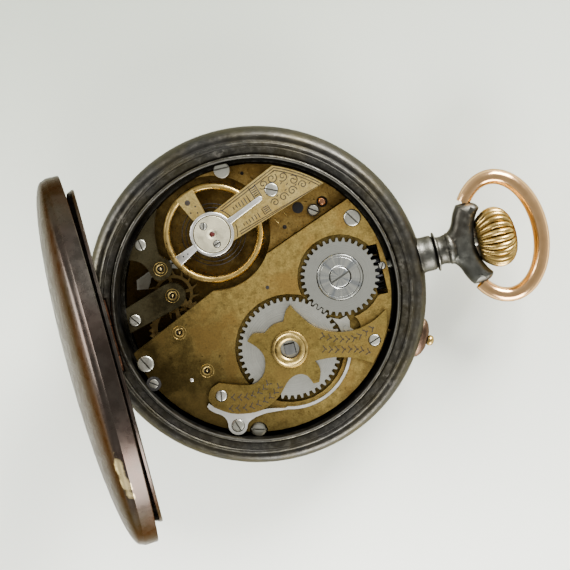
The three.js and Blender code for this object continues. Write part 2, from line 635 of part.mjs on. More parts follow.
// ---------------------------------------------------------------- screws
const BRIDGE_SCREWS = [
  { x: 16.2, y: 8.1, radius: 1.2, slot: -57 },
  { x: -17.9, y: -5.3, radius: 1.2, slot: -62 },
];
const RATCHET_BRIDGE_SCREWS = [
  { x: -8.3, y: -12.35, radius: 0.82, slot: 80 }, { x: 15.15, y: -9.75, radius: 0.85, slot: 20 }];
const CLICK_SPRING_SCREW = { x: -7.1, y: -17.3, radius: 0.92, slot: -72 };
const CASE_SCREWS = [
  { x: -0.25, y: 19.2, radius: 1.15, slot: 10 },
  { x: -4.35, y: -18.85, radius: 1.25, slot: -15 },
];
const COCK_SCREW = { x: 6, y: 14.8, radius: 0.95, slot: -25 };
const PALLET_COCK_SCREW = { x: -14.4, y: 11.6, radius: 0.8, slot: -80 };
const ESCAPE_COCK_SCREW = { x: -18, y: 1.1, radius: 0.85, slot: -55 };
const CLICK_PIVOT = { x: 11.6, y: -7.2 };

/** Round sinking that a screw head sits in, with its shank hole below. */
function screwSeat(place, top, depth = 0.35) {
  return solidDisc(place, place.radius + 0.08, top - depth, top + 1, 0, 12)
    .add(solidDisc(place, place.radius * 0.5 + 0.08, top - 2.4, top + 1, 0, 8));
}

/** A screw whose head stands slightly proud of the plate it holds. */
const seatedScrew = (place, top, proud = 0.12) => screw(place, place.radius, top + proud, place.slot, 0.42, 0.9);

/** A case screw: its head is trimmed to clear the case wall. */
function caseScrew(place) {
  const body = solid(screw(place, place.radius, BRIDGE.high - 0.35, place.slot, 0.5, 1));
  return surface(body.intersect(solidDisc(ORIGIN, LIP_INNER - 0.12, 5, 14, 0, RING_STEPS)));
}

// ---------------------------------------------------------------- plates and cocks
/** Ends of the barrel bridge's two straight edges, on the wall of the balance well. */
const BRIDGE_EDGE = {
  right: polar(BALANCE, WELL_RADIUS, rad(-34.9)), rightEnd: polar(ORIGIN, PLATE.radius, rad(33.9)),
  left: polar(BALANCE, WELL_RADIUS, rad(-103.7)), leftEnd: polar(ORIGIN, PLATE.radius, rad(-169.9)),
};

function bridgeShape() {
  const { right, left } = BRIDGE_EDGE;
  const shape = new THREE.Shape();
  shape.moveTo(right.x, right.y);
  shape.absarc(0, 0, PLATE.radius, rad(33.9), rad(-169.9), true);
  shape.lineTo(left.x, left.y);
  shape.absarc(BALANCE.x, BALANCE.y, WELL_RADIUS, rad(-103.7), rad(-34.9), false);
  return shape;
}

function barrelBridge() {
  let body = solidPlate(bridgeShape(), BRIDGE.low, BRIDGE.high, 16);
  const cuts = [
    solidDisc(CROWN_WHEEL, 6.15, WHEEL.floor, 13, 0, 28),
    solidDisc(BARREL, 7.95, WHEEL.floor, 13, 0, 32),
    solidDisc(CLICK_PIVOT, 2.15, WHEEL.floor, 13, 0, 14),
    solidDisc(BARREL, 1.35, 10, 13, 0, 14),
    solidBlock(17.2, 18.72, -3.65, 3.65, 10, 13),
    solidDisc({ x: -17.5, y: -8.4 }, 0.95, 11.3, 13, 0, 12),
    ...[THIRD, FOURTH].map((place) => solidDisc(place, 0.45, 10, 13, 0, 8)),
    ...BRIDGE_SCREWS.map((place) => screwSeat(place, BRIDGE.high)),
    ...RATCHET_BRIDGE_SCREWS.map((place) => solidDisc(place, place.radius * 0.5 + 0.08, 10.9, 13, 0, 8)),
    screwSeat(CLICK_SPRING_SCREW, BRIDGE.high + 0.28),
    caseScrewSeat(CASE_SCREWS[1]),
    solidDisc(CROWN_WHEEL, 0.86, 10.6, 13, 0, 8),
  ];
  for (const cut of cuts) body = body.subtract(cut);
  return surface(body);
}

const caseScrewSeat = (place) => solidDisc(place, place.radius + 0.1, 11.1, 13, 0, 16)
  .add(solidDisc(place, place.radius * 0.5 + 0.08, 9.9, 13, 0, 8));

/** Main plate with its flange, raised ground, pillars and cut-outs. */
function mainPlate() {
  let body = solid(turned([
    [0, PLATE.low], [PLATE.flange, PLATE.low], [PLATE.flange, PLATE.step],
    [PLATE.radius, PLATE.step], [PLATE.radius, PLATE.high], [0, PLATE.high],
  ]));
  body = body.add(raisedGround());
  const pillars = [[16.2, 8.1], [-17.7, -5.2], [-5.6, -17.6]];
  for (const [x, y] of pillars) {
    body = body.add(solidDisc({ x, y }, 0.98, PLATE.high - 0.5, BRIDGE.low - GAP, 0, 12));
  }
  const cuts = [
    solidBlock(17.1, 18.8, -3.6, 3.6, 5, 8),
    solidBlock(12.3, 16, -1.95, 1.95, 5, 8),
    solidDisc(BARREL, 1.1, 5, 8, 0, 12),
    ...[THIRD, FOURTH, ESCAPE, PALLET, BALANCE].map((place) => solidDisc(place, 0.4, 5, 8, 0, 8)),
    solidDisc(ORIGIN, 0.8, 5, 8, 0, 16),
    ...BRIDGE_SCREWS.map((place) => solidDisc(place, place.radius * 0.5 + 0.08, 9.6, 11, 0, 8)),
    solidDisc(CASE_SCREWS[0], CASE_SCREWS[0].radius * 0.5 + 0.08, 9, 11, 0, 8),
    solidDisc(COCK_SCREW, COCK_SCREW.radius * 0.5 + 0.08, 9, 11, 0, 8),
  ];
  for (const cut of cuts) body = body.subtract(cut);
  return surface(body);
}

/** Raised part of the main plate between the bridge's edge and the rim, round the balance well. */
function raisedGround() {
  const { right, rightEnd } = BRIDGE_EDGE;
  const along = bearing(right, rightEnd);
  const off = { x: -0.12 * Math.sin(along), y: 0.12 * Math.cos(along) };
  const reach = 30;
  const below = polygon([
    [right.x + off.x - reach * Math.cos(along), right.y + off.y - reach * Math.sin(along)],
    [right.x + off.x + reach * Math.cos(along), right.y + off.y + reach * Math.sin(along)],
    [reach, -reach], [-reach, -reach],
  ]);
  const ground = solidDisc(ORIGIN, PLATE.radius, PLATE.high - 0.5, HIGH_GROUND_Z, 0, RING_STEPS);
  return ground.subtract(solidPlate(below, 6, 11))
    .subtract(solidDisc(BALANCE, WELL_RADIUS, 6, 11, 0, 32))
    .subtract(solidBlock(-25, -8.4, -5, 25, 6, 11))
    .subtract(solidBlock(-25, -5, -25, 9, 6, 11));
}

/** Balance cock: engraved wedge, round hub over the balance, stud arm and foot. */
function balanceCock() {
  const outline = new THREE.Shape();
  outline.moveTo(7, 18.3);
  outline.absarc(0, 0, 19.35, rad(69.1), rad(46), true);
  outline.lineTo(-1.6, 8.85);
  outline.absarc(BALANCE.x, BALANCE.y, 2.85, rad(-41), rad(81), true);
  outline.closePath();
  const arm = polygon([[-7.55, 16.55], [-5.9, 13.2], [-3.9, 13.5], [-4.9, 17.55]]);
  const wedge = solidPlate(outline, COCK.low, COCK.high, 8);
  const foot = new THREE.Shape();
  foot.moveTo(5, 16.6);
  foot.lineTo(7, 18);
  foot.absarc(0, 0, 19.2, rad(68.5), rad(47), true);
  foot.lineTo(6.4, 12.2);
  foot.closePath();
  let body = wedge.add(solidPlate(arm, COCK.low, COCK.high))
    .add(solidPlate(foot, HIGH_GROUND_Z + GAP, COCK.low + 0.1, 4))
    .subtract(solidDisc(BALANCE, 0.5, 11, 13, 0, 16))
    .subtract(solidDisc({ x: -6.05, y: 15.85 }, 0.3, 11, 13, 0, 12))
    .subtract(screwSeat(COCK_SCREW, COCK.high));
  return surface(body);
}

/** Horn-shaped cock over the pallet arbor. */
function palletCock() {
  const outline = new THREE.Shape();
  const tip = polar(ORIGIN, 19.35, rad(124.1));
  outline.moveTo(tip.x, tip.y);
  outline.quadraticCurveTo(-12.4, 13.2, -12.2, 9.6);
  outline.absarc(PALLET.x, PALLET.y, 1.65, rad(60), rad(-170), true);
  outline.quadraticCurveTo(-14.4, 9.3, -16.6, 9.85);
  outline.absarc(0, 0, 19.35, rad(149.3), rad(124.1), true);
  outline.closePath();
  const foot = solidDisc(PALLET_COCK_SCREW, 0.85, PLATE.high + GAP, 9.8, 0, 12);
  return surface(solidPlate(outline, 9.6, 10.6, 8).add(foot)
    .subtract(solidDisc(PALLET, 0.42, 9, 11, 0, 12)).subtract(screwSeat(PALLET_COCK_SCREW, 10.6)));
}

/** Straight cock over the escape wheel. */
function escapeCock() {
  const outline = new THREE.Shape();
  outline.moveTo(-12.4, 5.15);
  outline.lineTo(-18.8, 3.1);
  outline.absarc(0, 0, 19.1, rad(170.6), rad(181.6), false);
  outline.lineTo(-11, 1.55);
  outline.absarc(ESCAPE.x, ESCAPE.y, 1.9, rad(-62), rad(108), false);
  const foot = solidDisc({ x: -17.9, y: 1.2 }, 1.05, PLATE.high + GAP, 9.8, 0, 12);
  return surface(solidPlate(outline, 9.6, 10.6, 6).add(foot)
    .subtract(solidDisc(ESCAPE, 0.42, 9, 11, 0, 12)).subtract(screwSeat(ESCAPE_COCK_SCREW, 10.6)));
}

// ---------------------------------------------------------------- going train
const barrelModule = meshModule(BARREL, THIRD, TEETH.barrel, TEETH.thirdPinion);
const thirdModule = meshModule(THIRD, FOURTH, TEETH.third, TEETH.fourthPinion);
const fourthModule = meshModule(FOURTH, ESCAPE, TEETH.fourth, TEETH.escapePinion);

/** Toothed drum with an open top. */
function barrel() {
  const gear = gearSize(TEETH.barrel, barrelModule);
  const base = solidPlate(fineGearShape(BARREL, gear, bearing(BARREL, THIRD), 1.65, 16), 7.6, 8);
  return surface(base.add(solidDisc(BARREL, 9.9, 7.9, 9.85, 9.5, 30)));
}

const barrelCover = () => disc(BARREL, 9.35, 9.6, 9.82, 1.65, 30);

const mainspring = () => plate(spiralShape(BARREL, 2.2, 9.1, 4, 0.35, 12), 8.1, 9.5);

/** A wheel with its pinion and arbor, as one staked piece. */
function trainWheel({ centre, wheel, wheelFirst, wheelZ, pinion, pinionFirst, pinionZ, arbor, arms }) {
  const rim = fineGearShape(centre, wheel, wheelFirst);
  addCrossings(rim, centre, arms, wheel.pitch * 0.28, wheel.root * 0.82, wheel.pitch * 0.13, wheelFirst);
  const body = solidPlate(rim, wheelZ, wheelZ + 0.25, 2)
    .add(solidPlate(fineGearShape(centre, pinion, pinionFirst), pinionZ[0], pinionZ[1]))
    .add(solidDisc(centre, arbor, PLATE.high + GAP, BRIDGE.low - GAP, 0, 10))
    .add(solidDisc(centre, 0.22, 6.5, BRIDGE.high - 0.1, 0, 8));
  return surface(body);
}

const thirdWheel = () => trainWheel({
  centre: THIRD, arms: 5,
  wheel: gearSize(TEETH.third, thirdModule), wheelFirst: bearing(THIRD, FOURTH), wheelZ: 10,
  pinion: gearSize(TEETH.thirdPinion, barrelModule),
  pinionFirst: bearing(THIRD, BARREL) + Math.PI / TEETH.thirdPinion, pinionZ: [7.45, 8.2],
  arbor: 0.5,
});

const fourthWheel = () => trainWheel({
  centre: FOURTH, arms: 4,
  wheel: gearSize(TEETH.fourth, fourthModule), wheelFirst: bearing(FOURTH, ESCAPE), wheelZ: 8.9,
  pinion: gearSize(TEETH.fourthPinion, thirdModule),
  pinionFirst: bearing(FOURTH, THIRD) + Math.PI / TEETH.fourthPinion, pinionZ: [9.6, 10.35],
  arbor: 0.42,
});

/** Escape wheel: slender pointed teeth on a light rim. */
function escapeWheel() {
  const tip = 3.7;
  const root = 2.85;
  const step = 2 * Math.PI / TEETH.escape;
  const points = [];
  for (let i = 0; i < TEETH.escape; i += 1) {
    points.push(
      polar(ESCAPE, root, i * step), polar(ESCAPE, tip, (i + 0.36) * step),
      polar(ESCAPE, tip, (i + 0.42) * step), polar(ESCAPE, root, (i + 0.3) * step));
  }
  const shape = new THREE.Shape(points);
  addCrossings(shape, ESCAPE, 4, 0.85, 2.4, 0.45, 0);
  const pinion = gearSize(TEETH.escapePinion, fourthModule);
  const first = bearing(ESCAPE, FOURTH) + Math.PI / TEETH.escapePinion;
  return surface(solidPlate(shape, 8.15, 8.4, 2)
    .add(solidPlate(fineGearShape(ESCAPE, pinion, first), 8.35, 9.35))
    .add(solidDisc(ESCAPE, 0.22, 6.5, 10.5, 0, 8)));
}

/** Lever with two pallets straddling the escape wheel and a fork reaching to the balance. */
function palletFork() {
  const anchor = polygon([
    [-16.6, 6.6], [-15.3, 7.1], [-12.6, 8.3], [-10.3, 7.4], [-8.6, 5.6], [-8.75, 5.05],
    [-9.5, 6.2], [-11.3, 7.25], [-13.4, 7.2], [-14.5, 6.3], [-15.1, 4.9], [-16.9, 5.2],
  ]);
  const toBalance = bearing(PALLET, BALANCE);
  const reach = distance(PALLET, BALANCE) - 1.35;
  const lever = block(0, reach, -0.22, 0.22, 8.05, 8.45);
  const horns = block(reach - 0.5, reach, -0.6, 0.6, 8.05, 8.45);
  const notch = block(reach - 0.3, reach + 1, -0.2, 0.2, 7, 9);
  const fork = solid(lever).add(solid(horns)).subtract(solid(notch))
    .rotate([0, 0, toBalance * 180 / Math.PI]).translate([PALLET.x, PALLET.y, 0]);
  const pallets = solidPlate(anchor, 8.05, 8.45).subtract(solidDisc(ESCAPE, 3.83, 8, 9, 0, 40));
  return surface(pallets.add(fork).add(solidDisc(PALLET, 0.25, 6.5, 10.5, 0, 10)));
}

// ---------------------------------------------------------------- balance
const RING = { outer: 7.3, inner: 6.25, low: 9.85, high: 10.85 };
const ARM_ANGLE = rad(24);

/** Plain round-sectioned balance rim with two arms. */
function balanceWheel() {
  const middle = (RING.outer + RING.inner) / 2;
  const half = (RING.outer - RING.inner) / 2;
  const section = [];
  for (let i = 0; i < 6; i += 1) {
    const t = rad(60 * i);
    section.push([middle + half * Math.cos(t), 10.35 + 0.5 * Math.sin(t)]);
  }
  const rim = solid(turned(section, 32)).translate([BALANCE.x, BALANCE.y, 0]);
  const arms = block(-middle, middle, -0.45, 0.45, 10.15, 10.45).rotateZ(ARM_ANGLE);
  const hub = solidDisc(BALANCE, 1.1, 10.1, 10.6, 0, 20);
  return surface(rim.add(solid(arms.translate(BALANCE.x, BALANCE.y, 0))).add(hub)
    .subtract(solidDisc(BALANCE, 0.45, 9, 12, 0, 16)));
}

/** Staff with its roller and impulse pin. */
function balanceStaff() {
  const impulse = polar(BALANCE, 0.75, bearing(BALANCE, PALLET));
  return surface(solidDisc(BALANCE, 0.38, 7.2, 11.8, 0, 12)
    .add(solidDisc(BALANCE, 0.25, 6.5, 12.6, 0, 10))
    .add(solidDisc(BALANCE, 1.05, 8.7, 9, 0, 20))
    .add(solidDisc(impulse, 0.14, 8.1, 8.8, 0, 8)));
}

const hairspring = () => plate(spiralShape(BALANCE, 0.75, 5, 5, 0.12, 12), 11.05, 11.3);

/** Regulator: ring round the endstone, long pointer over the scale and short curb-pin tail. */
function regulator() {
  const top = 13;
  const low = COCK.high + GAP;
  const ring = solidDisc(BALANCE, 3.15, low, top, 2.72, 28);
  const pointer = block(2.9, 8.7, -0.38, 0.38, low, top).rotateZ(rad(22.7));
  const tipDisc = solidDisc({ x: 8.7, y: 0 }, 0.38, low, top, 0, 12).rotate([0, 0, 22.7]);
  const tail = solidPlate(polygon([[2.9, -0.45], [6.2, -0.75], [6.2, 0.75], [2.9, 0.45]]), low, top);
  const centre = [BALANCE.x, BALANCE.y, 0];
  const body = solid(pointer).add(tipDisc).add(tail.rotate([0, 0, 204.4])).translate(centre).add(ring);
  return surface(body);
}

const endstoneCap = () => disc(BALANCE, 2.6, COCK.high + GAP, 13.05, 0.5, 24);

// ---------------------------------------------------------------- dial side
const dial = () => disc(ORIGIN, DIAL.radius, DIAL.low, DIAL.high, 1.5, RING_STEPS);

const minuteModule = meshModule(ORIGIN, BARREL, TEETH.minuteWheel, TEETH.cannonPinion);
const hourModule = meshModule(ORIGIN, BARREL, TEETH.hourPinion, TEETH.hourWheel);

/** Wheel on the barrel's arbor line, with the small pinion that drives the hour wheel. */
function minuteWheel() {
  const wheel = gearSize(TEETH.minuteWheel, minuteModule);
  const pinion = gearSize(TEETH.hourPinion, hourModule);
  const first = bearing(BARREL, ORIGIN);
  return surface(solidPlate(fineGearShape(BARREL, wheel, first, 0.5), 5, 5.25)
    .add(solidPlate(fineGearShape(BARREL, pinion, first, 0.5), 4.45, 5.1)));
}

/** Slender tube that carries the minute hand. */
function cannonPinion() {
  const pinion = gearSize(TEETH.cannonPinion, minuteModule);
  const first = bearing(ORIGIN, BARREL) + Math.PI + Math.PI + Math.PI / TEETH.cannonPinion;
  return surface(solidPlate(fineGearShape(ORIGIN, pinion, first), 4.95, 5.3)
    .add(solidDisc(ORIGIN, 0.65, 2.05, 6.9, 0, 16)));
}

function hourWheel() {
  const wheel = gearSize(TEETH.hourWheel, hourModule);
  const first = bearing(ORIGIN, BARREL) + Math.PI / TEETH.hourWheel;
  return surface(solidPlate(fineGearShape(ORIGIN, wheel, first, 0.85), 4.5, 4.75)
    .add(solidDisc(ORIGIN, 1.3, 2.9, 4.6, 0.85, 12)));
}

/** A slim spade-tipped hand pointing along +X from its hub. */
function hand(length, spade, hub, bore, low, high) {
  const outline = new THREE.Shape();
  outline.moveTo(-2.6, -0.3);
  outline.lineTo(length - 3.4 * spade, -0.28);
  outline.quadraticCurveTo(length - 2.4 * spade, -1.5 * spade, length - 1.2 * spade, -0.5 * spade);
  outline.lineTo(length, 0);
  outline.lineTo(length - 1.2 * spade, 0.5 * spade);
  outline.quadraticCurveTo(length - 2.4 * spade, 1.5 * spade, length - 3.4 * spade, 0.28);
  outline.lineTo(-2.6, 0.3);
  outline.closePath();
  return solidPlate(outline, low, high, 6).add(solidDisc(ORIGIN, hub, low, high, 0, 16))
    .subtract(solidDisc(ORIGIN, bore, low - 1, high + 1, 0, 12));
}

const HAND_ANGLE = { hour: -55, minute: 60 };
const hourHand = () => surface(hand(10.5, 1, 1.9, 1.36, 2.95, 3.15).rotate([0, 0, HAND_ANGLE.hour]));
const minuteHand = () => surface(hand(16.2, 0.8, 1.3, 0.7, 2.1, 2.3).rotate([0, 0, HAND_ANGLE.minute]));

// ---------------------------------------------------------------- build the watch
add('case_middle', caseMiddle(), GUNMETAL);
add('pendant', pendant(), GUNMETAL);
add('bezel', bezel(), GUNMETAL);
add('crystal', crystal(), GLASS);
add('bow', bow(), ROSE_GOLD);
add('pusher_guard', pusherGuard(), GUNMETAL);
add('set_pusher', setPusher(), GOLD);

add('back_cover', backCover(), GUNMETAL, openGroup(COVER_HINGE, COVER_OPEN));
add('cuvette', cuvette(), GUNMETAL, openGroup(INNER_HINGE, INNER_COVER_OPEN));
add('cover_hinge_pin', rodAlongY(COVER_HINGE.x, COVER_HINGE.z, HINGE_PIN_RADIUS, -3.85, 3.85, 8), COPPER);
const innerPin = rodAlongY(INNER_HINGE.x, INNER_HINGE.z, HINGE_PIN_RADIUS, -INNER_PIN_HALF, INNER_PIN_HALF, 8);
add('cuvette_hinge_pin', innerPin, COPPER);

add('crown', crown(), GOLD);
add('stem', stem(), STEEL);
add('winding_pinion', windingPinion(), DARK_STEEL);
add('sliding_pinion', slidingPinion(), DARK_STEEL);
add('setting_lever', settingLever(), STEEL);
add('crown_wheel', crownWheel(), STEEL);
add('crown_wheel_core', crownWheelCore(), STEEL);
add('ratchet_wheel', ratchetWheel(), STEEL);
add('barrel_arbor', barrelArbor(), STEEL);
add('ratchet_bridge', ratchetBridge(), GILT);
add('arbor_bush', arborBush(), GOLD);
add('click', click(), STEEL);
add('click_spring', clickSpring(), STEEL);

add('main_plate', mainPlate(), GILT);
add('barrel_bridge', barrelBridge(), GILT);
add('balance_cock', balanceCock(), PALE_GILT);
add('pallet_cock', palletCock(), GILT);
add('escape_cock', escapeCock(), GILT);

add('barrel', barrel(), GILT);
add('barrel_cover', barrelCover(), GILT);
add('mainspring', mainspring(), STEEL);
add('third_wheel', thirdWheel(), GILT);
add('fourth_wheel', fourthWheel(), GILT);
add('escape_wheel', escapeWheel(), STEEL);
add('pallet_fork', palletFork(), STEEL);
add('balance_wheel', balanceWheel(), PALE_GILT);
add('balance_staff', balanceStaff(), STEEL);
add('hairspring', hairspring(), BLUED);
add('regulator', regulator(), STEEL);
add('endstone_cap', endstoneCap(), STEEL);
add('endstone_jewel', disc(BALANCE, 0.42, 12.75, 12.98, 0, 16), RUBY);

add('dial', dial(), ENAMEL);
add('minute_wheel', minuteWheel(), GILT);
add('cannon_pinion', cannonPinion(), STEEL);
add('hour_wheel', hourWheel(), GILT);
add('hour_hand', hourHand(), BLUED);
add('minute_hand', minuteHand(), BLUED);

add('crown_wheel_screw', screw(CROWN_WHEEL, 1.55, WHEEL.high + 0.15, 20, 0.45, 0.9), STEEL);
add('balance_cock_screw', seatedScrew(COCK_SCREW, COCK.high), STEEL);
add('pallet_cock_screw', seatedScrew(PALLET_COCK_SCREW, 10.6), STEEL);
add('escape_cock_screw', seatedScrew(ESCAPE_COCK_SCREW, 10.6), STEEL);
add('click_spring_screw', seatedScrew(CLICK_SPRING_SCREW, BRIDGE.high + 0.28), STEEL);
BRIDGE_SCREWS.forEach((place, i) => add(`bridge_screw_${i + 1}`, seatedScrew(place, BRIDGE.high), STEEL));
RATCHET_BRIDGE_SCREWS.forEach((place, i) =>
  add(`ratchet_bridge_screw_${i + 1}`, seatedScrew(place, RATCHET_BRIDGE.high, 0.08), STEEL));
CASE_SCREWS.forEach((place, i) => add(`case_screw_${i + 1}`, caseScrew(place), STEEL));

export default watch;
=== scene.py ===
"""Open face pocket watch, laid dial down with back and dust cover open: the looks around the CAD frame."""
import json
import math

import bmesh
import bpy
from mathutils import Matrix, Vector


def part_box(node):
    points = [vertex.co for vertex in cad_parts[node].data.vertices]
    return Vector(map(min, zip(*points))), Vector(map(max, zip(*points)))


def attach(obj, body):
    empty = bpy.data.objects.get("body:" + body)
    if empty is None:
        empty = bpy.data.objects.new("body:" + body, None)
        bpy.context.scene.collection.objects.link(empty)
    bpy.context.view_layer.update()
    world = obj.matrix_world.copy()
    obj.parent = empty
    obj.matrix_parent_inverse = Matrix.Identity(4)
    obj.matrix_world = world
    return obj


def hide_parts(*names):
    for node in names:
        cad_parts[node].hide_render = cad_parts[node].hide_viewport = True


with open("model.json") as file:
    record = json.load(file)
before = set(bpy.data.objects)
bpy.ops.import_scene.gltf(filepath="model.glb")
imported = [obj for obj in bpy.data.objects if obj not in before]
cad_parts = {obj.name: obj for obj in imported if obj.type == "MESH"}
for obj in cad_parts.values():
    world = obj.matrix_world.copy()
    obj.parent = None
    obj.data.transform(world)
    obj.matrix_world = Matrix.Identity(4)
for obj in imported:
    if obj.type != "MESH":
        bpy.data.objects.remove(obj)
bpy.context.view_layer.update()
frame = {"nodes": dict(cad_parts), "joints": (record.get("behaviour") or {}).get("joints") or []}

MM = 0.001                      # every size below is in millimetres, in the CAD frame
STEM_Z = 8.0                    # height of the stem, pendant and band middle
RING_STEPS = 192
FINE_STEPS = 288

# ---- reading the frame


def joint(name):
    """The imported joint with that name."""
    return next(j for j in frame["joints"] if j["name"] == name)


def joint_place(name):
    """A joint's point, in millimetres."""
    return Vector(joint(name)["pos_m"]) / MM


def low(node):
    """Lowest corner of a node's box, in millimetres."""
    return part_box(node)[0] / MM


def high(node):
    """Highest corner of a node's box, in millimetres."""
    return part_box(node)[1] / MM


def middle(node):
    """Middle of a node's box, in millimetres."""
    return (low(node) + high(node)) / 2


# ---- material nodes


class Finish:
    """A Principled material and short names for the nodes that feed it."""

    def __init__(self, name, metallic=1.0, roughness=0.4):
        self.material = bpy.data.materials.new(name)
        self.material.use_nodes = True
        self.tree = self.material.node_tree
        self.shader = self.tree.nodes["Principled BSDF"]
        self.set("Metallic", metallic)
        self.set("Roughness", roughness)
        self.place = self.add("TexCoord").outputs["Object"]

    def feed(self, socket, value):
        """Links an output to a socket, or sets a plain value or colour on it."""
        if isinstance(value, bpy.types.NodeSocket):
            self.tree.links.new(value, socket)
        elif socket.type == "RGBA":
            socket.default_value = (*value, 1)
        else:
            socket.default_value = value

    def set(self, name, value):
        """A linked or plain value on the shader."""
        self.feed(self.shader.inputs[name], value)

    def add(self, kind, inputs=None, **settings):
        """A shader node with its settings, and with its inputs set or linked by name or number."""
        node = self.tree.nodes.new("ShaderNode" + kind)
        for key, value in settings.items():
            setattr(node, key, value)
        for key, value in (inputs or {}).items():
            self.feed(node.inputs[key], value)
        return node

    def math(self, operation, a, b=0.0):
        """One arithmetic step."""
        return self.add("Math", {0: a, 1: b}, operation=operation).outputs[0]

    def shifted(self, centre=(0, 0, 0), stretch=(1, 1, 1)):
        """Object coordinates in millimetres from a centre, stretched."""
        scale = [s / MM for s in stretch]
        shift = [-c * s for c, s in zip(centre, stretch)]
        inputs = {"Vector": self.place, "Scale": scale, "Location": shift}
        return self.add("Mapping", inputs).outputs[0]

    def noise(self, size, detail=4.0, vector=None, seed=0.0):
        """Cloudy noise whose clouds are about size millimetres across."""
        vector = vector or self.shifted(centre=(seed, seed, seed))
        inputs = {"Vector": vector, "Scale": 1 / size, "Detail": detail, "Roughness": 0.6}
        return self.add("TexNoise", inputs).outputs["Fac"]

    def window(self, value, start, end, to_start=0.0, to_end=1.0):
        """A value stretched from one range to another and clamped."""
        inputs = {"Value": value, 1: start, 2: end, 3: to_start, 4: to_end}
        return self.add("MapRange", inputs).outputs[0]

    def blend(self, factor, first, second):
        """A colour between two others."""
        return self.add("Mix", {0: factor, 6: first, 7: second}, data_type="RGBA").outputs[2]

    def over(self, colour, other, mask, amount):
        """A colour with another laid over it, by an amount, where a mask is 1."""
        return self.blend(self.math("MULTIPLY", mask, amount), colour, other)

    def bump(self, *layers):
        """Relief from (height, depth in millimetres) layers."""
        normal = None
        for height, depth in layers:
            inputs = {"Height": height, "Strength": 1.0, "Distance": depth * MM}
            if normal is not None:
                inputs["Normal"] = normal
            normal = self.add("Bump", inputs).outputs[0]
        self.set("Normal", normal)

    def worn_edges(self):
        """1 on convex edges, 0 elsewhere."""
        pointiness = self.add("NewGeometry").outputs["Pointiness"]
        return self.window(pointiness, 0.512, 0.56)

    def hollows(self, depth):
        """Mask for painted shade: 1 in creases and recesses up to depth millimetres wide, 0 in the open."""
        shade = self.add("AmbientOcclusion", {"Distance": depth * MM}, samples=8).outputs["AO"]
        return self.window(shade, 0.25, 0.82, 1.0, 0.0)


def scaled(colour, share):
    """A colour, darker or lighter by a share."""
    return [c * share for c in colour]


def tarnished(name, bright, dull, spot_and_shade, spots=0.5, grain=0.006, roughness=(0.3, 0.5), side_shade=0.0, depth=None):
    """Gilding in clouds, partly tarnish and partly painted sheen, with dark spots and painted shade in its
    creases.

    age paints shade over the side away from the crown, and depth (two heights) paints shade over what lies
    low.
    """
    made = Finish(name)
    # the bright share of these clouds is painted sheen, the dull share tarnish
    clouds = made.window(made.noise(4.5, 5), 0.42, 0.6)
    parts = made.add("SeparateXYZ", {0: made.shifted()}).outputs
    side = made.math("ADD", made.math("MULTIPLY", parts[0], 1.1), made.math("MULTIPLY", parts[1], 0.8))
    wander = made.math("MULTIPLY", made.noise(4.0, 3, seed=44), 10.0)
    # painted shade: the side away from the crown darkens
    side_shaded = made.window(made.math("ADD", side, wander), -16, 2, side_shade, 0.0)
    fine = made.window(made.noise(0.8, 6, seed=30), 0.4, 0.68)
    spotted = made.window(made.noise(0.5, 3, seed=7), 0.7 - 0.1 * spots, 0.76 - 0.1 * spots)
    speckle = made.window(made.noise(0.22, 2, seed=61), 0.4, 0.62)
    colour = made.over(made.blend(clouds, bright, dull), dull, fine, 0.75)
    colour = made.over(colour, spot_and_shade, speckle, 0.3)
    colour = made.over(colour, spot_and_shade, spotted, 0.8)
    colour = made.blend(side_shaded, colour, spot_and_shade)
    if depth:
        # painted shade over what lies low
        colour = made.blend(made.window(parts[2], *depth, 0.8, 0.0), colour, scaled(spot_and_shade, 0.8))
    # painted shade in creases and recesses
    made.set("Base Color", made.over(colour, scaled(spot_and_shade, 0.4), made.hollows(2.0), 0.9))
    made.set("Roughness", made.window(clouds, 0, 1, *roughness))
    made.bump((made.noise(0.14, 3, seed=3), grain), (made.noise(0.9, 2, seed=11), grain * 1.5))
    return made.material


def gunmetal(name, base, warm, edge):
    """Oxidised steel, olive and brown in places, rubbed bright along its edges, with handling marks and
    painted shade in its creases.
    """
    made = Finish(name)
    clouds = made.window(made.noise(6, 4), 0.4, 0.62)
    smears = made.window(made.noise(1.1, 5, seed=21), 0.35, 0.75)
    rubbed = made.math("MULTIPLY", made.worn_edges(), made.window(made.noise(0.8, 5, seed=5), 0.45, 0.8))
    colour = made.over(made.blend(clouds, base, warm), scaled(base, 1.7), smears, 0.35)
    # painted shade in creases and recesses
    colour = made.over(colour, (0.006, 0.005, 0.004), made.hollows(0.6), 0.85)
    made.set("Base Color", made.blend(rubbed, colour, edge))
    made.set("Roughness", made.window(smears, 0, 1, 0.34, 0.52))
    made.set("Specular Tint", (0.55, 0.53, 0.48))
    pits = made.window(made.noise(0.35, 3, seed=17), 0.3, 0.42)
    made.bump((made.noise(0.25, 4, seed=9), 0.008), (pits, 0.012))
    return made.material


WORN_PLACE = (-15.9, -10.3, 55.0)     # where the plating of the outer cover has rubbed through


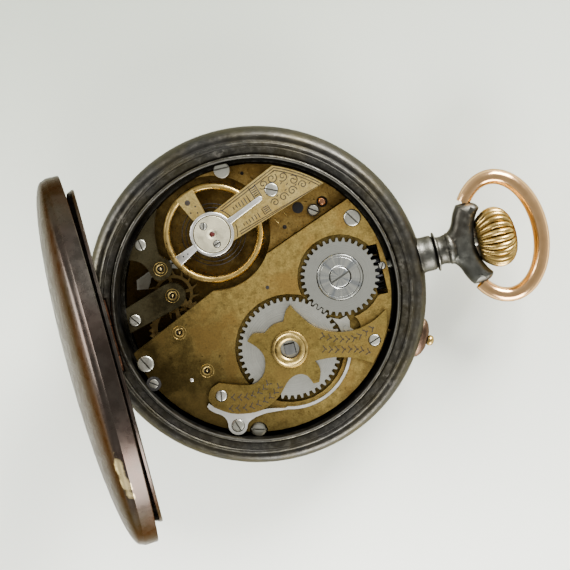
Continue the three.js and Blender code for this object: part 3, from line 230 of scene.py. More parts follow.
def smoked(name, base, warm, bare_metal):
    """Dark polished brown steel with long faint streaks, worn through in one place."""
    made = Finish(name)
    streaks = made.window(made.noise(7.0, 3, vector=made.shifted(stretch=(1, 0.35, 1))), 0.35, 0.65)
    smears = made.window(made.noise(1.6, 5, seed=13), 0.35, 0.75)
    colour = made.over(made.blend(streaks, base, warm), scaled(base, 1.6), smears, 0.25)
    patch = made.shifted(WORN_PLACE, (1.7, 0.24, 0.28))
    reach = made.add("VectorMath", {0: patch}, operation="LENGTH").outputs["Value"]
    ragged = made.math("ADD", reach, made.math("MULTIPLY", made.noise(1.3, 4, seed=71), 1.6))
    made.set("Base Color", made.blend(made.window(ragged, 1.35, 1.75, 0.9, 0.0), colour, bare_metal))
    made.set("Roughness", made.window(smears, 0, 1, 0.24, 0.36))
    made.set("Specular Tint", (0.38, 0.35, 0.32))
    made.bump((made.noise(3.0, 2, seed=9), 0.01), (made.noise(0.25, 4, seed=3), 0.002))
    return made.material


def polished(name, base, shade, roughness, dents, shade_reach=0.4):
    """Polished plating with a darker tone in clouds, painted shade in its creases and recesses, and slight
    handling dents.
    """
    made = Finish(name)
    tone = made.window(made.noise(3.0, 3), 0.35, 0.65)
    colour = made.over(base, shade, tone, 0.35)
    # painted shade in creases and recesses
    if shade_reach:
        colour = made.over(colour, scaled(shade, 0.25), made.hollows(shade_reach), 0.85)
    made.set("Base Color", colour)
    smear = made.window(made.noise(0.8, 5, seed=4), 0.3, 0.7)
    made.set("Roughness", made.window(smear, 0, 1, roughness * 0.8, roughness * 1.6))
    made.set("Specular Tint", scaled(shade, 0.5))
    made.bump((made.noise(1.1, 2, seed=2), dents), (made.noise(0.2, 3, seed=8), dents * 0.15))
    return made.material


def plain_steel(name, base, roughness):
    """Flat-ground steel with grey clouds, fine scratches and painted shade in its creases."""
    made = Finish(name)
    clouds = made.window(made.noise(1.6, 5), 0.35, 0.65)
    scratches = made.noise(0.12, 3, vector=made.shifted(stretch=(1, 0.08, 1)))
    colour = made.over(base, scaled(base, 0.62), clouds, 0.5)
    # painted shade in creases and recesses
    made.set("Base Color", made.over(colour, (0.03, 0.025, 0.02), made.hollows(0.35), 0.9))
    made.set("Roughness", made.window(clouds, 0, 1, roughness, roughness * 1.5))
    made.bump((scratches, 0.004))
    return made.material


def ringed_steel(name, centre, base, ring_size=0.13, rays=0.0):
    """Steel brushed in rings round a centre, with a fan of rays from it and painted shade in its creases."""
    made = Finish(name)
    parts = made.add("SeparateXYZ", {0: made.shifted(centre=centre)})
    x, y = parts.outputs[0], parts.outputs[1]
    radius = made.math("SQRT", made.math("ADD", made.math("MULTIPLY", x, x), made.math("MULTIPLY", y, y)))
    angle = made.math("ARCTAN2", y, x)

    def brush(across, along, detail):
        lines = made.add("CombineXYZ", {0: across, 1: along}).outputs[0]
        return made.add("TexNoise", {"Vector": lines, "Scale": 1.0, "Detail": detail}).outputs["Fac"]

    brushed = brush(made.math("DIVIDE", radius, ring_size), made.math("MULTIPLY", angle, 1.5), 3.0)
    colour = made.blend(made.window(brushed, 0.3, 0.7), base, scaled(base, 0.62))
    if rays:
        turn = made.math("MULTIPLY", made.math("ABSOLUTE", angle), 2.6)
        beams = brush(turn, made.math("MULTIPLY", radius, 0.05), 2.0)
        colour = made.over(colour, (0.2, 0.22, 0.25), made.window(beams, 0.42, 0.62), rays)
    dull = made.window(made.noise(1.5, 4), 0.45, 0.75)
    colour = made.over(colour, (0.3, 0.28, 0.24), dull, 0.25)
    # painted shade in creases and recesses
    made.set("Base Color", made.over(colour, (0.04, 0.03, 0.02), made.hollows(0.35), 0.8))
    made.set("Roughness", made.window(brushed, 0.3, 0.7, 0.26, 0.4))
    made.bump((brushed, 0.005))
    return made.material


def enamel(name):
    """Fired white enamel with faint clouds and pin-prick pits."""
    made = Finish(name, metallic=0.0, roughness=0.16)
    clouds = made.window(made.noise(4, 4), 0.3, 0.7)
    made.set("Base Color", made.blend(clouds, (0.86, 0.85, 0.8), (0.8, 0.78, 0.7)))
    made.bump((made.window(made.noise(0.3, 2, seed=6), 0.25, 0.3), 0.004), (made.noise(3, 2), 0.02))
    made.set("Coat Weight", 0.5)
    return made.material


def painted(name, colour, roughness=0.5):
    """A thin dark coat, a little uneven: dial print, and painted shade in cut lines, holes and rings round
    screws.
    """
    made = Finish(name, metallic=0.1)
    tone = made.window(made.noise(0.4, 3), 0.35, 0.65)
    made.set("Base Color", made.blend(tone, colour, scaled(colour, 0.6)))
    made.set("Roughness", made.window(tone, 0, 1, roughness, roughness * 1.3))
    made.bump((made.noise(0.1, 2), 0.004))
    return made.material


def clear(name):
    """Clear crystal with fine wear marks."""
    made = Finish(name, metallic=0.0)
    made.set("Base Color", (0.97, 0.99, 0.98))
    made.set("Transmission Weight", 1.0)
    made.set("IOR", 1.5)
    haze = made.window(made.noise(1.2, 5), 0.55, 0.8)
    made.set("Roughness", made.window(haze, 0, 1, 0.02, 0.14))
    made.bump((made.noise(0.3, 2, seed=4), 0.001))
    return made.material


def red_jewel(name):
    """Dark polished ruby."""
    made = Finish(name, metallic=0.0, roughness=0.08)
    tone = made.window(made.noise(0.3, 3), 0.3, 0.7)
    made.set("Base Color", made.blend(tone, (0.07, 0.008, 0.006), (0.03, 0.004, 0.004)))
    made.bump((made.noise(0.2, 2), 0.001))
    made.set("Coat Weight", 1.0)
    return made.material


CROWN_WHEEL = middle("crown_wheel")
RATCHET = middle("ratchet_wheel")
CASE_STEEL = gunmetal("case_gunmetal", (0.045, 0.043, 0.038), (0.06, 0.052, 0.032), (0.3, 0.28, 0.24))
PENDANT_STEEL = gunmetal("pendant_gunmetal", (0.075, 0.075, 0.065), (0.045, 0.04, 0.032), (0.3, 0.28, 0.23))
COVER_STEEL = smoked("cover_gunmetal", (0.052, 0.045, 0.038), (0.062, 0.041, 0.033), (0.66, 0.52, 0.27))
LIP_STEEL = plain_steel("lip_steel", (0.24, 0.23, 0.2), 0.28)
PLATE_GILT = tarnished("plate_gilt", (0.5, 0.33, 0.1), (0.2, 0.12, 0.034), (0.05, 0.032, 0.01), 0.8,
                       side_shade=0.9, depth=(4.5, 10.3))
BRIDGE_GILT = tarnished("bridge_gilt", (0.74, 0.53, 0.16), (0.27, 0.17, 0.045), (0.055, 0.038, 0.012), 0.6,
                        side_shade=0.85)
COCK_GILT = tarnished("cock_gilt", (0.95, 0.73, 0.28), (0.6, 0.42, 0.13), (0.16, 0.1, 0.03), 0.2, 0.01,
                      (0.34, 0.42))
OLD_GILT = tarnished("old_gilt", (0.13, 0.105, 0.05), (0.07, 0.06, 0.032), (0.025, 0.02, 0.01), 0.5)
RATCHET_GILT = tarnished("ratchet_gilt", (0.5, 0.36, 0.1), (0.23, 0.155, 0.042), (0.07, 0.045, 0.014), 0.5,
                         0.012, side_shade=0.5)
TRAIN_BRASS = polished("train_brass", (0.34, 0.24, 0.09), (0.2, 0.13, 0.045), 0.3, 0.002)
BALANCE_GOLD = polished("balance_gold", (0.7, 0.5, 0.17), (0.5, 0.33, 0.1), 0.27, 0.0005, 0)
ARBOR_STEEL = plain_steel("arbor_steel", (0.2, 0.2, 0.19), 0.35)
BUSH_GOLD = polished("bush_gold", (0.5, 0.36, 0.12), (0.24, 0.16, 0.05), 0.3, 0.003, 0.6)
ROSE_GOLD = polished("rose_gold", (0.76, 0.47, 0.23), (0.5, 0.28, 0.12), 0.15, 0.006, 0.2)
CROWN_GOLD = polished("crown_gold", (0.5, 0.34, 0.115), (0.28, 0.18, 0.055), 0.24, 0.012, 1.6)
COPPER = polished("hinge_copper", (0.42, 0.2, 0.11), (0.2, 0.09, 0.05), 0.3, 0.01)
GUARD_BROWN = gunmetal("guard_brown", (0.1, 0.06, 0.04), (0.07, 0.045, 0.03), (0.45, 0.3, 0.17))
WHEEL_STEEL = ringed_steel("crown_wheel_steel", CROWN_WHEEL, (0.58, 0.58, 0.52))
CORE_STEEL = ringed_steel("core_steel", CROWN_WHEEL, (0.64, 0.64, 0.58), 0.2, 0.75)
RATCHET_STEEL = ringed_steel("ratchet_steel", RATCHET, (0.75, 0.74, 0.66))
SCREW_STEEL = plain_steel("screw_steel", (0.5, 0.49, 0.42), 0.34)
BRIGHT_STEEL = plain_steel("bright_steel", (0.97, 0.95, 0.88), 0.3)
CAP_STEEL = plain_steel("cap_steel", (0.68, 0.63, 0.45), 0.45)
DARK_STEEL = plain_steel("dark_steel", (0.04, 0.04, 0.043), 0.35)
BLUED = polished("blued_steel", (0.03, 0.06, 0.2), (0.02, 0.03, 0.1), 0.2, 0.002)
ENAMEL = enamel("dial_enamel")
# painted shade for engraved cuts and small drilled dots
CUT_SHADE = painted("cut_shade", (0.014, 0.008, 0.003))
NUMERAL_BLACK = painted("numeral_black", (0.012, 0.012, 0.014), 0.3)
# painted shade for drilled holes, rings round screws and the bores of bushes
HOLE_SHADE = painted("hole_shade", (0.01, 0.008, 0.006), 0.8)
CLEAR = clear("clear_crystal")
RUBY = red_jewel("ruby_red")

# ---- mesh making


def in_scene(name, data):
    """A new object in the scene."""
    item = bpy.data.objects.new(name, data)
    bpy.context.scene.collection.objects.link(item)
    return item


def mesh_from(name, bm):
    """A mesh under construction, made final."""
    mesh = bpy.data.meshes.new(name)
    bm.to_mesh(mesh)
    bm.free()
    return mesh


def evaluated(item):
    """An object's mesh with its modifiers or its curve's thickness in place."""
    graph = bpy.context.evaluated_depsgraph_get()
    return bpy.data.meshes.new_from_object(item.evaluated_get(graph))


def smoothed(mesh, sharp):
    """Smooth faces, crisp along edges sharper than so many degrees."""
    for face in mesh.polygons:
        face.use_smooth = True
    mesh.set_sharp_from_angle(angle=math.radians(sharp))


def finished(name, bm, material, body, replaces=(), sharp=32.0):
    """Turns a mesh under construction into a piece that rides on a body."""
    bmesh.ops.remove_doubles(bm, verts=bm.verts, dist=0.0005)
    bmesh.ops.recalc_face_normals(bm, faces=bm.faces)
    bm.transform(Matrix.Scale(MM, 4))
    mesh = mesh_from(name, bm)
    smoothed(mesh, sharp)
    mesh.materials.append(material)
    piece = in_scene(name, mesh)
    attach(piece, body)
    if replaces:
        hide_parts(*replaces)
    return piece


def turned(profile, steps=RING_STEPS, ripple=None, closed=True):
    """A profile of (radius, height) points turned about Z, its last point joined to its first when closed.

    ripple(radius, angle) scales the radius.
    """
    bm = bmesh.new()
    rings = []
    for radius, height in profile:
        if radius < 1e-6:
            rings.append([bm.verts.new((0, 0, height))])
            continue
        ring = []
        for i in range(steps):
            angle = 2 * math.pi * i / steps
            r = radius * (ripple(radius, angle) if ripple else 1)
            ring.append(bm.verts.new((r * math.cos(angle), r * math.sin(angle), height)))
        rings.append(ring)
    pairs = list(zip(rings, rings[1:]))
    if closed:
        pairs.append((rings[-1], rings[0]))
    for first, second in pairs:
        if len(first) == 1 and len(second) == 1:
            continue
        for i in range(steps):
            j = (i + 1) % steps
            corners = [ring[k % len(ring)] for ring, k in ((first, i), (first, j), (second, j), (second, i))]
            bm.faces.new(list(dict.fromkeys(corners)))
    return bm


def arc(centre, radii, start, end, steps):
    """Points (radius, height) on an ellipse arc of a profile, angles in degrees."""
    points = []
    for i in range(steps + 1):
        t = math.radians(start + (end - start) * i / steps)
        points.append((centre[0] + radii[0] * math.cos(t), centre[1] + radii[1] * math.sin(t)))
    return points


def box_mesh(corner, other):
    """A box between two corners."""
    bm = bmesh.new()
    size = Vector(other) - Vector(corner)
    place = Matrix.Translation((Vector(corner) + Vector(other)) / 2) @ Matrix.Diagonal((*size, 1))
    bmesh.ops.create_cube(bm, size=1, matrix=place)
    return bm


ON_STEM = Matrix.Translation((0, 0, STEM_Z)) @ Matrix.Rotation(math.pi / 2, 4, "Y")


def about(centre):
    """A move to a centre in the XY plane."""
    return Matrix.Translation((centre[0], centre[1], 0))


def plug(radius, start, end, steps=40):
    """A plain solid cylinder along Z."""
    return turned([(0, start), (radius, start), (radius, end), (0, end)], steps)


def moved(bm, matrix):
    """The same mesh, moved."""
    bm.transform(matrix)
    return bm


def lathed(name, profile, material, replaces=(), centre=(0, 0), steps=RING_STEPS):
    """A turned piece on the case, upright about a centre."""
    return finished(name, moved(turned(profile, steps), about(centre)), material, "case", replaces)


def joined(*parts):
    """Several meshes as one."""
    whole = parts[0]
    for part in parts[1:]:
        mesh = mesh_from("part", part)
        whole.from_mesh(mesh)
        bpy.data.meshes.remove(mesh)
    return whole


def cut(piece, *cutters):
    """Cuts closed meshes, given in millimetres, out of a piece."""
    for bm in cutters:
        bmesh.ops.recalc_face_normals(bm, faces=bm.faces)
        bm.transform(Matrix.Scale(MM, 4))
        tool = in_scene("cutter", mesh_from("cutter", bm))
        modifier = piece.modifiers.new("cut", "BOOLEAN")
        modifier.operation = "DIFFERENCE"
        modifier.solver = "EXACT"
        modifier.object = tool
        result = evaluated(piece)
        piece.modifiers.remove(modifier)
        piece.data = result
        bpy.data.objects.remove(tool)
    smoothed(piece.data, 32)


def softened(piece, width, angle=35):
    """Rounds a piece's edges."""
    bevel = piece.modifiers.new("edges", "BEVEL")
    bevel.width = width * MM
    bevel.segments = 2
    bevel.limit_method = "ANGLE"
    bevel.angle_limit = math.radians(angle)


def add_route(curve, points):
    """A polyline through (x, y, z) points, added to a curve."""
    spline = curve.splines.new("POLY")
    spline.points.add(len(points) - 1)
    for point, place in zip(spline.points, points):
        point.co = (*place, 1)
    return spline


def plate_mesh(outline, bottom, top, rounding, loops):
    """A flat outline given thickness, with rounded edges that stay inside the outline."""
    curve = bpy.data.curves.new("outline", "CURVE")
    curve.dimensions = "2D"
    curve.fill_mode = "BOTH"
    curve.extrude = (top - bottom) / 2 - rounding
    curve.bevel_depth = rounding
    curve.offset = -rounding
    curve.bevel_resolution = loops
    add_route(curve, [(x, y, 0) for x, y in outline]).use_cyclic_u = True
    return curve_mesh(curve, Matrix.Translation((0, 0, (top + bottom) / 2)))


def curve_mesh(curve, matrix=Matrix.Identity(4)):
    """A curve's surface as a mesh under construction."""
    holder = in_scene("holder", curve)
    mesh = evaluated(holder)
    bm = bmesh.new()
    bm.from_mesh(mesh)
    bm.transform(matrix)
    bpy.data.objects.remove(holder)
    bpy.data.meshes.remove(mesh)
    return bm


def wire_mesh(routes, thickness, sides, radii=None):
    """Round wire along routes of (x, y, z) points, with radii as shares of half its thickness."""
    curve = bpy.data.curves.new("wire", "CURVE")
    curve.dimensions = "3D"
    curve.bevel_depth = thickness / 2
    curve.bevel_resolution = sides
    curve.use_fill_caps = True
    for route in routes:
        spline = add_route(curve, route)
        for point, radius in zip(spline.points, radii or ()):
            point.radius = radius
    return curve_mesh(curve)


def spline_through(points, per_span=12):
    """Smooth points through a few given ones (Catmull-Rom)."""
    points = [Vector(p) for p in points]
    ends = [2 * points[0] - points[1], *points, 2 * points[-1] - points[-2]]
    smooth = []
    for i in range(1, len(ends) - 2):
        a, b, c, d = ends[i - 1:i + 3]
        for k in range(per_span):
            t = k / per_span
            smooth.append(0.5 * ((2 * b) + (c - a) * t + (2 * a - 5 * b + 4 * c - d) * t * t
                                 + (3 * b - 3 * c + d - a) * t ** 3))
    return [*smooth, points[-1]]


# ---- case


SHOULDER_RADIUS = 23.4
BAND_ROUND = 1.52
BAND_HALF = 3.4
LIP_TOP = 13.4
FLANGE_TOP = 12.6
LIP_INNER = 20.3
OUTER_HINGE = joint_place("back_cover_hinge")
INNER_HINGE = joint_place("cuvette_hinge")
KNUCKLE_RADIUS = 0.62
OUTER_LUGS = ((-3.9, -1.75), (1.75, 3.9))       # the case's knuckles of each hinge, from and to along Y
INNER_LUGS = ((-5.3, -3.0), (1.5, 5.3))
OUTER_NOTCH = 4.1                               # half-length of the notch cut for each hinge
INNER_NOTCH = 5.55


def rod_along_y(x, z, radius, start, end):
    """A rod along Y with slightly rounded ends."""
    edge = min(0.08, radius * 0.3)
    rod = turned([(0, start), (radius - edge, start), (radius, start + edge), (radius, end - edge),
                  (radius - edge, end), (0, end)], 32)
    return moved(rod, Matrix.Translation((x, 0, z)) @ Matrix.Rotation(-math.pi / 2, 4, "X"))


def case_profile():
    """Band, shoulder, flange and lip, with the fine grooves between them."""
    return [
        (20.6, 3.7), (23.1, 3.7), (23.2, 3.8), (23.2, 4.35),
        *arc((SHOULDER_RADIUS, STEM_Z), (BAND_ROUND, BAND_HALF), -90, 84, 22),
        (23.3, 11.42), (23.05, 11.36), (22.85, 11.36), (22.66, 11.45),
        (22.6, 11.7), (22.6, 12.42), *arc((22.42, 12.42), (0.18, 0.18), 0, 90, 4),
        (22.2, 12.59), (22.08, 12.5), (21.98, 12.5), (21.88, 12.6), (21.2, 12.57), (20.92, 12.52),
        (20.82, 12.44), (20.75, 12.5), (20.75, 13.25), *arc((20.6, 13.25), (0.15, 0.15), 0, 90, 3),
        (20.45, LIP_TOP), (LIP_INNER + 0.03, LIP_TOP - 0.04), (LIP_INNER, 13.25),
        (LIP_INNER, 7.2), (19.7, 7.2), (19.7, 6.3), (20.3, 6.3), (20.3, 4.5),
    ]


def hinge_lugs(name, hinge, spans, behind, ahead, depth):
    """The case's knuckles of one hinge, each on a small foot."""
    lugs = []
    for start, end in spans:
        lugs.append(rod_along_y(hinge.x, hinge.z, KNUCKLE_RADIUS, start, end))
        foot = (hinge.x - behind, start, hinge.z - depth)
        lugs.append(box_mesh(foot, (hinge.x + ahead, end, hinge.z - 0.1)))
    softened(finished(name, joined(*lugs), COPPER, "case"), 0.05)


def make_case():
    """Case ring with the notches and knuckles of both hinges, and the bright edge of its lip."""
    ring = lathed("case_ring", case_profile(), CASE_STEEL, ["case_middle"], steps=FINE_STEPS)
    outer_notch = box_mesh((-26, -OUTER_NOTCH, OUTER_HINGE.z - 0.9),
                           (OUTER_HINGE.x + KNUCKLE_RADIUS + 0.12, OUTER_NOTCH, OUTER_HINGE.z + 2))
    inner_notch = box_mesh((-22.5, -INNER_NOTCH, INNER_HINGE.z - 0.75),
                           (INNER_HINGE.x + 0.75, INNER_NOTCH, LIP_TOP + 1))
    pusher_hole = moved(plug(0.6, 18, 27, 32), pusher_turn())
    stem_hole = moved(plug(1.05, 19, 26, 32), ON_STEM)
    cut(ring, outer_notch, inner_notch, pusher_hole, stem_hole)
    hinge_lugs("outer_hinge_lugs", OUTER_HINGE, OUTER_LUGS, 0.3, 0.5, 1.2)
    hinge_lugs("inner_hinge_lugs", INNER_HINGE, INNER_LUGS, 0.4, 0.45, 0.9)
    edge = [(LIP_INNER + 0.02, LIP_TOP - 0.02), (LIP_INNER + 0.12, LIP_TOP + 0.015),
            (LIP_INNER + 0.26, LIP_TOP - 0.01), (LIP_INNER + 0.2, LIP_TOP - 0.08)]
    lip = lathed("lip_edge", edge, LIP_STEEL, steps=FINE_STEPS)
    cut(lip, box_mesh((-22.5, -INNER_NOTCH, 12), (INNER_HINGE.x + 1.95, INNER_NOTCH, LIP_TOP + 1)))


def make_bezel_and_crystal():
    """Dial-side bezel and its crystal."""
    bezel = [
        (19.05, 0.5), *arc((20.3, 1.0), (0.6, 0.58), -115, -80, 4), (21.0, 0.62), (21.5, 0.8), (22.1, 1.2),
        (22.6, 1.75), (23.0, 2.4), (23.25, 3.05), (23.4, 3.45), (23.38, 3.6), (20, 3.6), (19, 2.3),
        (19, 1.72), (19.42, 1.68), (19.42, 0.86), (19.05, 0.82),
    ]
    lathed("bezel_ring", bezel, CASE_STEEL, ["bezel"])
    glass = [(0, 0), (17.2, 0), *arc((17.2, 0.9), (1.7, 0.9), -88, -12, 10), (18.96, 0.93), (19.3, 0.96),
             (19.3, 1.6), (0, 1.6)]
    lathed("crystal_glass", glass, CLEAR, ["crystal"])


# ---- covers


def closed_to_open(name):
    """Turns a cover from its closed place, measured from its hinge line, to where it stands."""
    closed = math.radians(joint(name)["range_deg"][0])
    return Matrix.Translation((joint_place(name).x, 0, joint_place(name).z)) @ Matrix.Rotation(closed, 4, "Y")


def cover_profile(radius, depth, rim, thick):
    """Domed cover with an upright rim, a fine crease above it and a turned-in edge."""
    crease = rim - 0.25
    outer = [(radius - 0.06, 0.02), (radius, 0.1), (radius, crease - 0.1), (radius - 0.07, crease),
             *arc((0, rim + 0.1), (radius - 0.22, depth - rim - 0.1), 0, 90, 26)]
    inner = arc((0, rim), (radius - thick, depth - thick - rim), 90, 0, 22)
    outer[-1] = (0, outer[-1][1])
    inner[0] = (0, inner[0][1])
    edge = [(radius - thick, 0.35), (radius - thick - 0.12, 0.28), (radius - thick - 0.12, 0.05),
            (radius - thick, 0)]
    return [*outer, *inner, *edge]


def make_cover(name, node, body, size, lugs, own, lift):
    """A cover of a size (radius, depth, rim, thickness), standing open on its own knuckle."""
    hinge = joint_place(node + "_hinge")
    opened = closed_to_open(node + "_hinge")
    shell = moved(turned(cover_profile(*size), 240), Matrix.Translation((-hinge.x, 0, lift)))
    piece = finished(name, moved(shell, opened), COVER_STEEL, body, [node])
    for start, end in lugs:
        cut(piece, moved(rod_along_y(0, 0, KNUCKLE_RADIUS + 0.1, start - 0.08, end + 0.08), opened))
    foot = max(lift, -0.3)
    tongue = box_mesh((0, own[0], foot), (0.7, own[1], foot + 0.5))
    knuckle = moved(joined(rod_along_y(0, 0, KNUCKLE_RADIUS, *own), tongue), opened)
    softened(finished(name + "_knuckle", knuckle, COPPER, body), 0.05)


# ---- pendant, bow, crown, pusher


BOW_PIVOT = joint_place("bow_hinge")
YOKE_HALF = 6.0


def quadratic(start, control, end, steps=10):
    """Points on a quadratic curve, without its last point."""
    a, b, c = Vector(start), Vector(control), Vector(end)
    return [a * (1 - t) ** 2 + 2 * b * t * (1 - t) + c * t * t for t in (i / steps for i in range(steps))]


def yoke_outline():
    """Horned yoke, seen along the case axis."""
    half = [
        *quadratic((28.9, 2.1), (29.9, 2.6), (30.3, 3.7)),
        *quadratic((30.3, 3.7), (30.8, 5.2), (31.5, YOKE_HALF - 0.05)),
        *quadratic((31.5, YOKE_HALF - 0.05), (32.6, YOKE_HALF + 0.05), (33.7, YOKE_HALF - 0.2), 4),
        *quadratic((33.7, YOKE_HALF - 0.2), (34.45, 5.5), (34.6, 4.8), 5),
        *quadratic((34.6, 4.8), (33.0, 3.0), (32.9, 0), 12),
    ]
    return [*half, *[Vector((p.x, -p.y)) for p in reversed(half)]]


def make_pendant():
    """Neck with its thin flange and bead, and the yoke that holds the bow."""
    neck = turned([
        (0.95, 24.4), (2.9, 24.4), (2.78, 24.65), (2.62, 24.95), (2.58, 25.5), (2.6, 26.1), (2.56, 26.6),
        (2.3, 26.85), (2.35, 26.92), (2.86, 27.02), (2.9, 27.1), (2.86, 27.2), (2.3, 27.28), (2.12, 27.4),
        (2.05, 27.8), (2.08, 28.3), (2.2, 28.62), (2.12, 28.7), (2.16, 28.78), (2.34, 28.95), (2.36, 29.2),
        (2.2, 29.6), (1.8, 30.0), (1.2, 30.3), (0.95, 30.3),
    ], 96)
    finished("pendant_neck", moved(neck, ON_STEM), PENDANT_STEEL, "case", ["pendant"], 50)
    yoke = plate_mesh(yoke_outline(), STEM_Z - 1.75, STEM_Z + 1.75, 1.4, 8)
    horns = finished("pendant_yoke", yoke, PENDANT_STEEL, "case", (), 60)
    cut(horns, moved(plug(0.95, 20, 36), ON_STEM))


def make_bow():
    """Oval wire bow whose ends enter the yoke's horns."""
    centre_x, half_length, half_width = 36.8, 5.88, 8.8
    far_radius, end_radius = 1.17, 0.98
    last = math.pi - math.asin((YOKE_HALF + 0.1) / half_width)
    steps = 96
    route = []
    radii = []
    for i in range(steps + 1):
        t = -last + 2 * last * i / steps
        route.append((centre_x + half_length * math.cos(t), half_width * math.sin(t), BOW_PIVOT.z))
        radii.append(end_radius + (far_radius - end_radius) * (1 + math.cos(t)) / 2)
    pins = []
    for side in (-1, 1):
        ends = sorted((side * (YOKE_HALF - 1), side * (YOKE_HALF + 0.6)))
        pins.append(rod_along_y(BOW_PIVOT.x, BOW_PIVOT.z, 0.5, *ends))
    bow = joined(wire_mesh([route], 2, 10, radii), *pins)
    finished("bow_wire", bow, ROSE_GOLD, "bow_ring", ["bow"], 50)


CROWN_RIBS = 24


def crown_ripple(radius, angle):
    """Round ribs with narrow grooves, fading out on the end face."""
    depth = 0.13 * min(1, max(0, (radius - 1.9) / 1.2))
    return 1.02 - depth * (1 - abs(math.cos(CROWN_RIBS * angle / 2)) ** 0.6)


def make_crown():
    """Onion crown."""
    front = high("crown").x
    back = low("crown").x
    outline = (
        (0.85, -0.5), (2.2, -0.5), (2.7, -0.36), (3.15, 0), (3.55, 0.5), (3.95, 1.05), (4.22, 1.6),
        (4.34, 2.1), (4.36, 2.6), (4.28, 3.1), (4.08, 3.6), (3.75, 4.1), (3.3, 4.5), (2.75, 4.82),
        (2.1, 5.03),
    )
    body = [*((radius, back + height) for radius, height in outline), (1.3, front - 0.05), (0, front)]
    mesh = turned(body, CROWN_RIBS * 16, crown_ripple, closed=False)
    finished("crown_onion", moved(mesh, ON_STEM), CROWN_GOLD, "winding", ["crown"], 70)


def pusher_turn():
    """From the Z axis to the setting pusher's line."""
    axis = Vector(joint("set_pusher_slide")["axis"])
    return Matrix.Rotation(math.atan2(-axis.y, -axis.x), 4, "Z") @ ON_STEM


def make_pusher():
    """Setting pusher with a round head, and the guard beside it."""
    turn = pusher_turn()
    head = turned([(0, 19.95), (0.42, 19.95), (0.42, 25.8), (0.5, 25.86), (0.66, 25.98),
                   *arc((0, 26.4), (0.78, 0.62), -30, 90, 10)], 48)
    finished("pusher_pin", moved(head, turn), CROWN_GOLD, "pusher", ["set_pusher"], 50)
    guard = bmesh.new()
    bmesh.ops.create_uvsphere(guard, u_segments=64, v_segments=32, radius=1)
    guard.transform(turn @ Matrix.Translation((0, 0, 24.6)) @ Matrix.Diagonal((1.5, 3, 1.5, 1)))
    moon = finished("guard_moon", guard, GUARD_BROWN, "case", ["pusher_guard"], 50)
    side = arc((SHOULDER_RADIUS + 0.01, STEM_Z), (BAND_ROUND, BAND_HALF), -90, 90, 20)
    band = turned([(0, STEM_Z - BAND_HALF), *side, (0, STEM_Z + BAND_HALF)], FINE_STEPS)
    cut(moon, moved(plug(0.95, 20, 29, 48), turn), band)


# ---- screws, bushes and small work

SLOT_ANGLES = {
    "bridge_screw_1": -57, "bridge_screw_2": -62, "ratchet_bridge_screw_1": 80, "ratchet_bridge_screw_2": 20,
    "click_spring_screw": -72, "case_screw_2": -15, "balance_cock_screw": -25,
    "pallet_cock_screw": -80, "escape_cock_screw": -55, "crown_wheel_screw": 20,
}


def screw_mesh(radius, bottom, top, dome, slot_width, angle):
    """Chamfered, slightly domed screw with a cut slot, and the cutter for that slot."""
    edge = 0.1 * radius
    cheek = top - dome
    rounded = arc((0, cheek), (radius - edge, dome), 12, 90, 6)
    head = [(0, bottom), (radius * 0.5, bottom), (radius * 0.5, top - 0.5), (radius, top - 0.5),
            (radius, cheek - edge), (radius - edge, cheek), *rounded]
    slot = box_mesh((-radius * 1.2, -slot_width / 2, top - 0.26), (radius * 1.2, slot_width / 2, top + 0.5))
    return turned(head, 64), moved(slot, Matrix.Rotation(math.radians(angle), 4, "Z"))


def make_screws():
    """The whole-headed slotted screws, each from its CAD node's box."""
    for node, angle in SLOT_ANGLES.items():
        bottom, top, centre = low(node), high(node), about(middle(node))
        radius = (top.x - bottom.x) / 2
        domed = 0.28 if node.startswith("case") else 0.06
        body, slot = screw_mesh(radius, bottom.z, top.z, domed, 0.2 * radius ** 0.5, angle)
        material = CORE_STEEL if node == "crown_wheel_screw" else SCREW_STEEL
        piece = finished(node + "_head", moved(body, centre), material, "case", [node])
        cut(piece, moved(slot, centre))


def small_screw(name, place, radius, top, angle, rim=0.07):
    """A small screw in a ring of painted shade, with no CAD node of its own."""
    # painted shade: a dark ring round the head
    shade_ring = moved(plug(radius + rim, top - 0.2, top - 0.02), about(place))
    finished(name + "_shade_ring", shade_ring, HOLE_SHADE, "case")
    body, slot = screw_mesh(radius, top - 0.55, top + 0.02, 0.04, 0.24 * radius ** 0.5, angle)
    piece = finished(name, moved(body, about(place)), SCREW_STEEL, "case")
    cut(piece, moved(slot, about(place)))


def bush(name, place, top):
    """A ringed brass bush with a dip round the pivot, and a disc of painted shade deep in its bore."""
    outer, inner, pivot = 1.05, 0.45, 0.17
    ring = [(inner, top - 0.2), (inner, top - 0.02), (inner + 0.1, top + 0.03), (inner + 0.22, top + 0.03),
            (inner + 0.27, top - 0.03), (outer - 0.14, top - 0.03), (outer - 0.08, top + 0.05),
            (outer - 0.02, top + 0.04), (outer, top - 0.2)]
    lathed(name, ring, BUSH_GOLD, (), place, 64)
    tip = [(0, top - 0.25), (pivot, top - 0.25), *arc((0, top - 0.02), (pivot, 0.07), 0, 90, 4)]
    lathed(name + "_pivot", tip, BUSH_GOLD, (), place, 24)
    # painted shade: a dark disc deep in the bore
    bore_shade = moved(plug(inner, top - 0.26, top - 0.24, 32), about(place))
    finished(name + "_bore_shade", bore_shade, HOLE_SHADE, "case")


def dot(name, place, radius, top, material=HOLE_SHADE):
    """A small disc flush with a surface: a drilled hole drawn in painted shade by default, or an inlaid pin
    in its own material.
    """
    face = top + 0.012
    disc = [(0, top - 0.1), (radius, top - 0.1), (radius, top - 0.005), (radius * 0.9, face), (0, face)]
    lathed(name, disc, material, (), place, 32)


